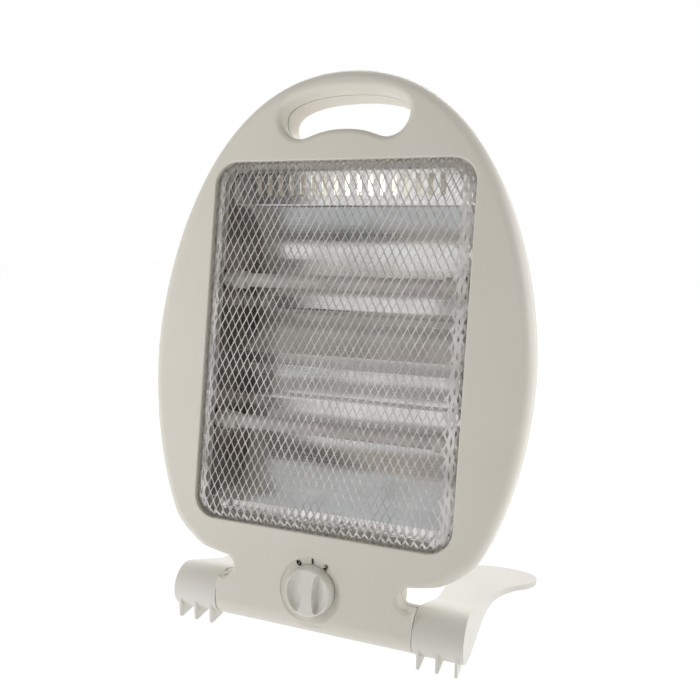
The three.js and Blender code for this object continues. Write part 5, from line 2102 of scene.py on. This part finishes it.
# ---- Feet ----
@dataclass
class Feet:
    """Two hollow feet: a hub with fins in front, and a flared leg behind."""

    finishes: Finishes
    hub_radius: float = 15.3
    hub_arc: Flat = (255.6, 66.0)
    inner: float = 71.3
    outer: float = 104.5
    reach: float = 132.0
    flare: float = 31.0
    past_flare: float = 9.0
    past_hub: float = 2.0
    wall: float = 2.4
    edge: float = 1.0
    skirt: float = 2.0
    hollow_skirt: float = -3.0
    toe: float = 5.0
    knee: float = 48.0
    knee_height: float = 15.0
    knee_pull: Flat = (14.0, 6.1)
    toe_pull: Flat = (34.0, 1.5)
    sole_start: float = 10.0
    fin: float = 1.8
    fin_pitch: float = 12.4
    fin_reach: float = 10.0
    fin_front: float = 0.4
    fin_toe: float = 1.0
    fin_edge: float = 0.3
    web_inset: float = 0.5
    web_share: float = 0.8
    pad_shares: Flat = (0.15, 0.8)
    pad_half: float = 5.0
    pad_inset: float = 6.0
    pad_length: float = 8.0
    pad_back: float = 0.83
    pad_flare: float = 0.7
    pad_gap: float = 1.0
    spigot_room: float = 8.2
    boss_wall: float = 2.0
    clip_room: float = 9.2
    clip_start: float = 12.6

    @property
    def floor(self) -> float:
        """The floor, below the hub axis."""
        return -POSTURE.hub_up

    @property
    def far(self) -> float:
        """A place across that is past the foot's flare."""
        return self.outer + self.flare + self.past_flare

    def side_profile(self, inset: float, skirt: float) -> list[Flat]:
        """Side profile as (back, up) points, drawn in by a wall thickness.

        Args:
            inset: How far it is drawn in.
            skirt: Height of the leg's lower edge.

        Returns:
            The points.
        """
        back, bottom = self.reach - inset, self.floor + skirt
        knee_top = self.floor + self.knee_height - inset
        toe = self.floor + self.toe - inset
        knee_out = (self.knee + self.knee_pull[0], knee_top - self.knee_pull[1])
        toe_in = (self.knee + self.toe_pull[0], toe + self.toe_pull[1])
        hub = arc((0.0, 0.0), self.hub_radius - inset, *self.hub_arc, 48)
        top = bezier((self.knee, knee_top), knee_out, toe_in, (back, toe), 24)
        return [*hub, *top, (back, toe), (back, bottom), (self.sole_start, bottom)]

    def plan(self, inset: float) -> list[Flat]:
        """Plan of the right foot as (x, back) points, in shares of its reach, flare and width.

        Args:
            inset: How far it is drawn in.

        Returns:
            The loop.
        """
        left, right = self.inner + inset, self.outer - inset
        front, back = -self.hub_radius - self.past_hub + 2 * inset, self.reach - inset
        reach, flare, width = self.reach, self.flare, self.outer - self.inner
        hip = (right + 0.55 * flare, 0.78 * reach)
        heel = (right + 0.9 * flare, back - 0.05 * reach)
        toe = (left + 0.35 * width, back - 0.05 * reach)
        instep = (left, back - 0.3 * reach)
        straight = [(right, front + (0.4 * reach - front) * i / 4) for i in range(4)]
        return [
            (left, front),
            *straight,
            *bezier((right, 0.4 * reach), (right, 0.62 * reach), (right + 6, 0.7 * reach), hip, 14),
            *bezier(hip, (right + 0.8 * flare, 0.82 * reach), (right + 1.1 * flare, 0.87 * reach), heel, 16),
            *bezier(heel, (right + 0.6 * flare, back), (right - 0.1 * flare, back + 0.01 * reach), toe, 16),
            *bezier(toe, (left, back - 0.1 * reach), (left, back - 0.16 * reach), instep, 12),
            instep,
        ]

    def solid(self, inset: float, skirt: float, bottom: float) -> Piece:
        """The right foot without its fins, solid, drawn in by an inset."""
        side = beam(self.side_profile(inset, skirt), self.inner, self.far)
        return combine(side, Operation.KEEP, upright(self.plan(inset), bottom, self.hub_radius + OVERLAP))

    def fins(self) -> tuple[list[Piece], Piece]:
        """The fins in front of the hub, and the webs behind them inside the leg.

        Returns:
            The fins, and the webs as one body.
        """
        centre, front = (self.inner + self.outer) / 2, -self.hub_radius
        start = front + self.fin_front
        floor, toe, end = self.floor, self.fin_toe, self.fin_reach
        profile = [(start, 0.0), (start, floor + toe), (start + toe, floor), (end, floor), (end, 0.0)]
        middles = [centre + i * self.fin_pitch for i in (-1, 0, 1)]
        spans = [(x - self.fin / 2, x + self.fin / 2) for x in middles]
        fins = [bevelled(beam(profile, *span), self.fin_edge, 2) for span in spans]
        bottom, back = floor + self.skirt, self.web_share * self.reach
        webs = [block((left, front, bottom), (right, back, self.hub_radius)) for left, right in spans]
        inside = combine(webs[0], Operation.JOIN, *webs[1:])
        leg = beam(self.side_profile(self.web_inset, self.skirt), self.inner, self.far)
        return fins, combine(inside, Operation.KEEP, leg)

    def pads(self) -> list[Piece]:
        """Blocks under the heel that stand on the floor.

        Returns:
            The blocks.
        """
        start, end = self.inner + self.pad_inset, self.outer + self.pad_flare * self.flare
        front, high = self.pad_back * self.reach, self.floor + self.toe - self.pad_gap
        places = (start + (end - start) * share for share in self.pad_shares)
        return [
            block((x - self.pad_half, front, self.floor), (x + self.pad_half, front + self.pad_length, high))
            for x in places
        ]

    def foot(self) -> Piece:
        """The right foot.

        Returns:
            The body.
        """
        shell = bevelled(self.solid(0.0, self.skirt, self.floor), self.edge, 4)
        below = self.hollow_skirt
        combine(shell, Operation.CUT, self.solid(self.wall, below, self.floor + below))
        fins, webs = self.fins()
        end = self.outer - self.wall
        boss = rod(Axis.ACROSS, self.spigot_room + self.boss_wall, (self.inner, end))
        combine(shell, Operation.JOIN, *fins, webs, boss, *self.pads())
        bore = rod(Axis.ACROSS, self.spigot_room, (self.inner - OVERLAP, end - OVERLAP))
        clip_room = rod(Axis.ACROSS, self.clip_room, (self.outer - self.clip_start, end - OVERLAP))
        return combine(shell, Operation.CUT, bore, clip_room)

    def build(self) -> None:
        """Makes both feet."""
        where = POSTURE.feet()
        for side in Side:
            foot, name, leg = on_side(self.foot(), side), f"{side.value}_foot", f"{side.value}_leg"
            self.finishes.place(foot, f"{name}_shell", "foot_plastic", name, body=leg, placement=where)


# ---- Studio ----
@dataclass(frozen=True)
class Lamp:
    """A soft square lamp: where it hangs, its size in metres, its power in watts and where it points."""

    name: str
    where: Point
    size: float
    power: float
    aim: Point = (0.0, 0.0, 0.2)
    in_mirrors: bool = True

    def hang(self) -> None:
        """Hangs the lamp."""
        light = bpy.data.lights.new(self.name, "AREA")
        light.size = self.size
        light.energy = self.power
        lamp = linked(self.name, light)
        lamp.location = self.where
        lamp.rotation_euler = (Vector(self.aim) - Vector(self.where)).to_track_quat("-Z", "Y").to_euler()
        lamp.visible_glossy = self.in_mirrors


@dataclass(frozen=True)
class Card:
    """A card before the heater that only mirrors see: where it stands, half its size, and its light."""

    name: str
    where: Point
    half: Flat
    level: float
    tint: Colour
    facing: Point

    def stand(self) -> None:
        """Stands the card."""
        x, z = self.half
        plane = body_of([(-x, 0, -z), (x, 0, -z), (x, 0, z), (-x, 0, z)], [(0, 1, 2, 3)], self.name)
        plane.location = self.where
        plane.rotation_euler = Vector(self.facing).to_track_quat("Y", "Z").to_euler()
        material = bpy.data.materials.new(self.name)
        material.use_nodes = True
        material.node_tree.nodes.clear()
        graph = Graph(material.node_tree)
        glow = graph.node("ShaderNodeEmission")
        glow.inputs["Color"].default_value = (*self.tint, 1.0)
        glow.inputs["Strength"].default_value = self.level
        graph.feed(graph.node("ShaderNodeOutputMaterial").inputs[0], glow.outputs[0])
        plane.data.materials.append(material)
        for ray in ("camera", "diffuse", "transmission", "shadow", "volume_scatter"):
            setattr(plane, f"visible_{ray}", False)


FORWARD = (0.0, 1.0, 0.0)
UPWARD = (0.0, 0.0, 1.0)
LAMPS = (
    Lamp("back_lamp", (-0.3, 1.5, 1.5), 1.6, 18.0),
    Lamp("right_lamp", (1.75, 0.3, 0.7), 1.2, 12.5),
    Lamp("left_lamp", (-0.46, -0.5, 0.34), 0.4, 1.65, in_mirrors=False),
    Lamp("vent_lamp", (0.0, 0.015, 0.315), 0.02, 0.03, (0.0, 0.2, 0.33), in_mirrors=False),
)
CARDS = (
    Card("near_top", (0.0, -0.062, 0.40), (0.2, 0.045), 0.45, (1.0, 0.93, 0.87), UPWARD),
    Card("near_floor", (0.0, -0.29, 0.004), (0.4, 0.09), 0.34, (1.0, 0.91, 0.83), UPWARD),
    Card("dark_floor", (-0.2, -0.29, 0.006), (0.095, 0.09), 0.05, (1.0, 0.95, 0.9), UPWARD),
    Card("near_middle", (0.0, -0.0525, 0.19), (0.12, 0.0175), 0.72, (0.91, 0.95, 0.98), UPWARD),
    Card("dark_side_high", (-0.27, -0.35, 0.77), (0.11, 0.42), 0.04, (1.0, 0.96, 0.92), FORWARD),
    Card("dark_side_low", (-0.285, -0.35, 0.25), (0.085, 0.10), 0.05, (1.0, 0.96, 0.92), FORWARD),
    Card("dark_stand", (-0.005, -0.36, 0.46), (0.02, 0.17), 0.2, (1.0, 0.98, 0.95), FORWARD),
)


@dataclass
class Studio:
    """Camera, soft light, a pale floor, and what polished metal sees of the room."""

    eye: Point = (0.1800, -0.4701, 0.2886)
    turn: float = -20.59
    dip: float = 11.11
    lens: float = 37.09
    sensor: float = 36.0
    nearest: float = 0.01
    ambient: float = 0.05
    from_back: Ramp = (-0.5, 0.8, 0.0, 0.44)
    from_top: Ramp = (0.0, 1.0, 0.0, 0.2)
    white_back: Flat = (-0.7, 0.3)
    warm: Colour = (1.0, 0.955, 0.86)
    white: Colour = (1.0, 1.0, 1.0)
    dark_above: Flat = (0.38, 0.44)
    dark_below: Flat = (0.96, 0.92)
    dark_before: Flat = (0.1, -0.2)
    room_height: Flat = (0.1, 0.5)
    room_low: Colour = (0.96, 0.93, 0.91)
    room_high: Colour = (0.84, 0.865, 0.885)
    room_dark: Colour = (0.45, 0.40, 0.355)
    floor_size: float = 6.0
    floor_colour: Colour = (0.93, 0.93, 0.925)
    floor_roughness: float = 0.9
    floor_specular: float = 0.1
    floor_glow: Flat = (1.12, 1.06)  # as the object is lit by it, and as it is seen
    floor_share: Flat = (0.6, 0.9)

    def camera(self) -> None:
        """Puts the camera where the photograph was taken."""
        lens = bpy.data.cameras.new("photo_camera")
        lens.lens = self.lens
        lens.sensor_width = self.sensor
        lens.clip_start = self.nearest
        camera = linked("photo_camera", lens)
        yaw, pitch = math.radians(self.turn), math.radians(self.dip)
        look = Vector((math.sin(yaw) * math.cos(pitch), math.cos(yaw) * math.cos(pitch), -math.sin(pitch)))
        camera.location = self.eye
        camera.rotation_euler = look.to_track_quat("-Z", "Y").to_euler()
        bpy.context.scene.camera = camera

    def seen(self, graph: Graph) -> Socket:
        """1 for rays that see the background: from the camera, off metal or through glass.

        Args:
            graph: The graph.

        Returns:
            The share.
        """
        path = graph.node("ShaderNodeLightPath")
        first = graph.math("MAXIMUM", path.outputs["Is Camera Ray"], path.outputs["Is Glossy Ray"])
        return graph.math("MAXIMUM", first, path.outputs["Is Transmission Ray"])

    def world(self) -> None:
        """White to the eye, a room to metal, and softly brighter from the back and above for the object."""
        world = bpy.data.worlds.new("studio")
        bpy.context.scene.world = world
        world.use_nodes = True
        world.node_tree.nodes.clear()
        graph = Graph(world.node_tree)
        split = graph.node("ShaderNodeSeparateXYZ")
        graph.feed(split.inputs[0], graph.node("ShaderNodeTexCoord").outputs["Generated"])
        back, up = split.outputs["Y"], split.outputs["Z"]
        from_back, from_top = graph.spread(back, *self.from_back), graph.spread(up, *self.from_top)
        level = graph.math("ADD", graph.math("ADD", from_back, from_top), self.ambient)
        lit = graph.node("ShaderNodeBackground")
        graph.feed(lit.inputs["Strength"], level)
        behind = graph.spread(back, *self.white_back)
        graph.feed(lit.inputs["Color"], graph.mix(behind, self.warm, self.white))
        white = graph.node("ShaderNodeBackground")
        white.inputs["Color"].default_value = (*self.white, 1.0)
        room = graph.node("ShaderNodeBackground")
        over = graph.math("MULTIPLY", graph.spread(up, *self.dark_above), graph.spread(up, *self.dark_below))
        before = graph.math("MULTIPLY", over, graph.spread(back, *self.dark_before))
        light = graph.mix(graph.spread(up, *self.room_height), self.room_low, self.room_high)
        graph.feed(room.inputs["Color"], graph.mix(before, light, self.room_dark))
        path = graph.node("ShaderNodeLightPath")
        outside = graph.mix_shaders(self.seen(graph), lit.outputs[0], white.outputs[0])
        mirrored_room = graph.mix_shaders(path.outputs["Is Glossy Ray"], outside, room.outputs[0])
        graph.feed(graph.node("ShaderNodeOutputWorld").inputs[0], mirrored_room)

    def floor(self) -> None:
        """A pale floor that keeps a soft shadow."""
        half = self.floor_size / 2
        corners = [(x * half, y * half, 0.0) for x, y in ((-1, -1), (1, -1), (1, 1), (-1, 1))]
        plane = body_of(corners, [(0, 1, 2, 3)], "studio_floor")
        material, graph, shader = new_material("studio_floor")
        shader.inputs["Base Color"].default_value = (*self.floor_colour, 1.0)
        shader.inputs["Roughness"].default_value = self.floor_roughness
        shader.inputs["Specular IOR Level"].default_value = self.floor_specular
        seen = self.seen(graph)
        glow = graph.node("ShaderNodeEmission")
        graph.feed(glow.inputs["Strength"], graph.spread(seen, 0.0, 1.0, *self.floor_glow))
        share = graph.spread(seen, 0.0, 1.0, *self.floor_share)
        mixed = graph.mix_shaders(share, shader.outputs[0], glow.outputs[0])
        graph.feed(material.node_tree.nodes["Material Output"].inputs["Surface"], mixed)
        plane.data.materials.append(material)

    def build(self) -> None:
        """Sets up the studio."""
        self.camera()
        self.world()
        self.floor()
        for lamp in LAMPS:
            lamp.hang()
        for card in CARDS:
            card.stand()
        bpy.context.scene.view_settings.view_transform = "Standard"


def main() -> None:
    """Builds the heater's pieces in order."""
    logging.basicConfig(level=logging.INFO, format="%(message)s")
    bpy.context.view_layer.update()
    Studio().build()
    finishes = Finishes()
    finishes.dress_nodes()
    Casing(finishes).build()
    Guard(finishes).build()
    HeatingUnit(finishes).build()
    PowerKnob(finishes).build()
    Feet(finishes).build()


if __name__ == "__main__":
    main()
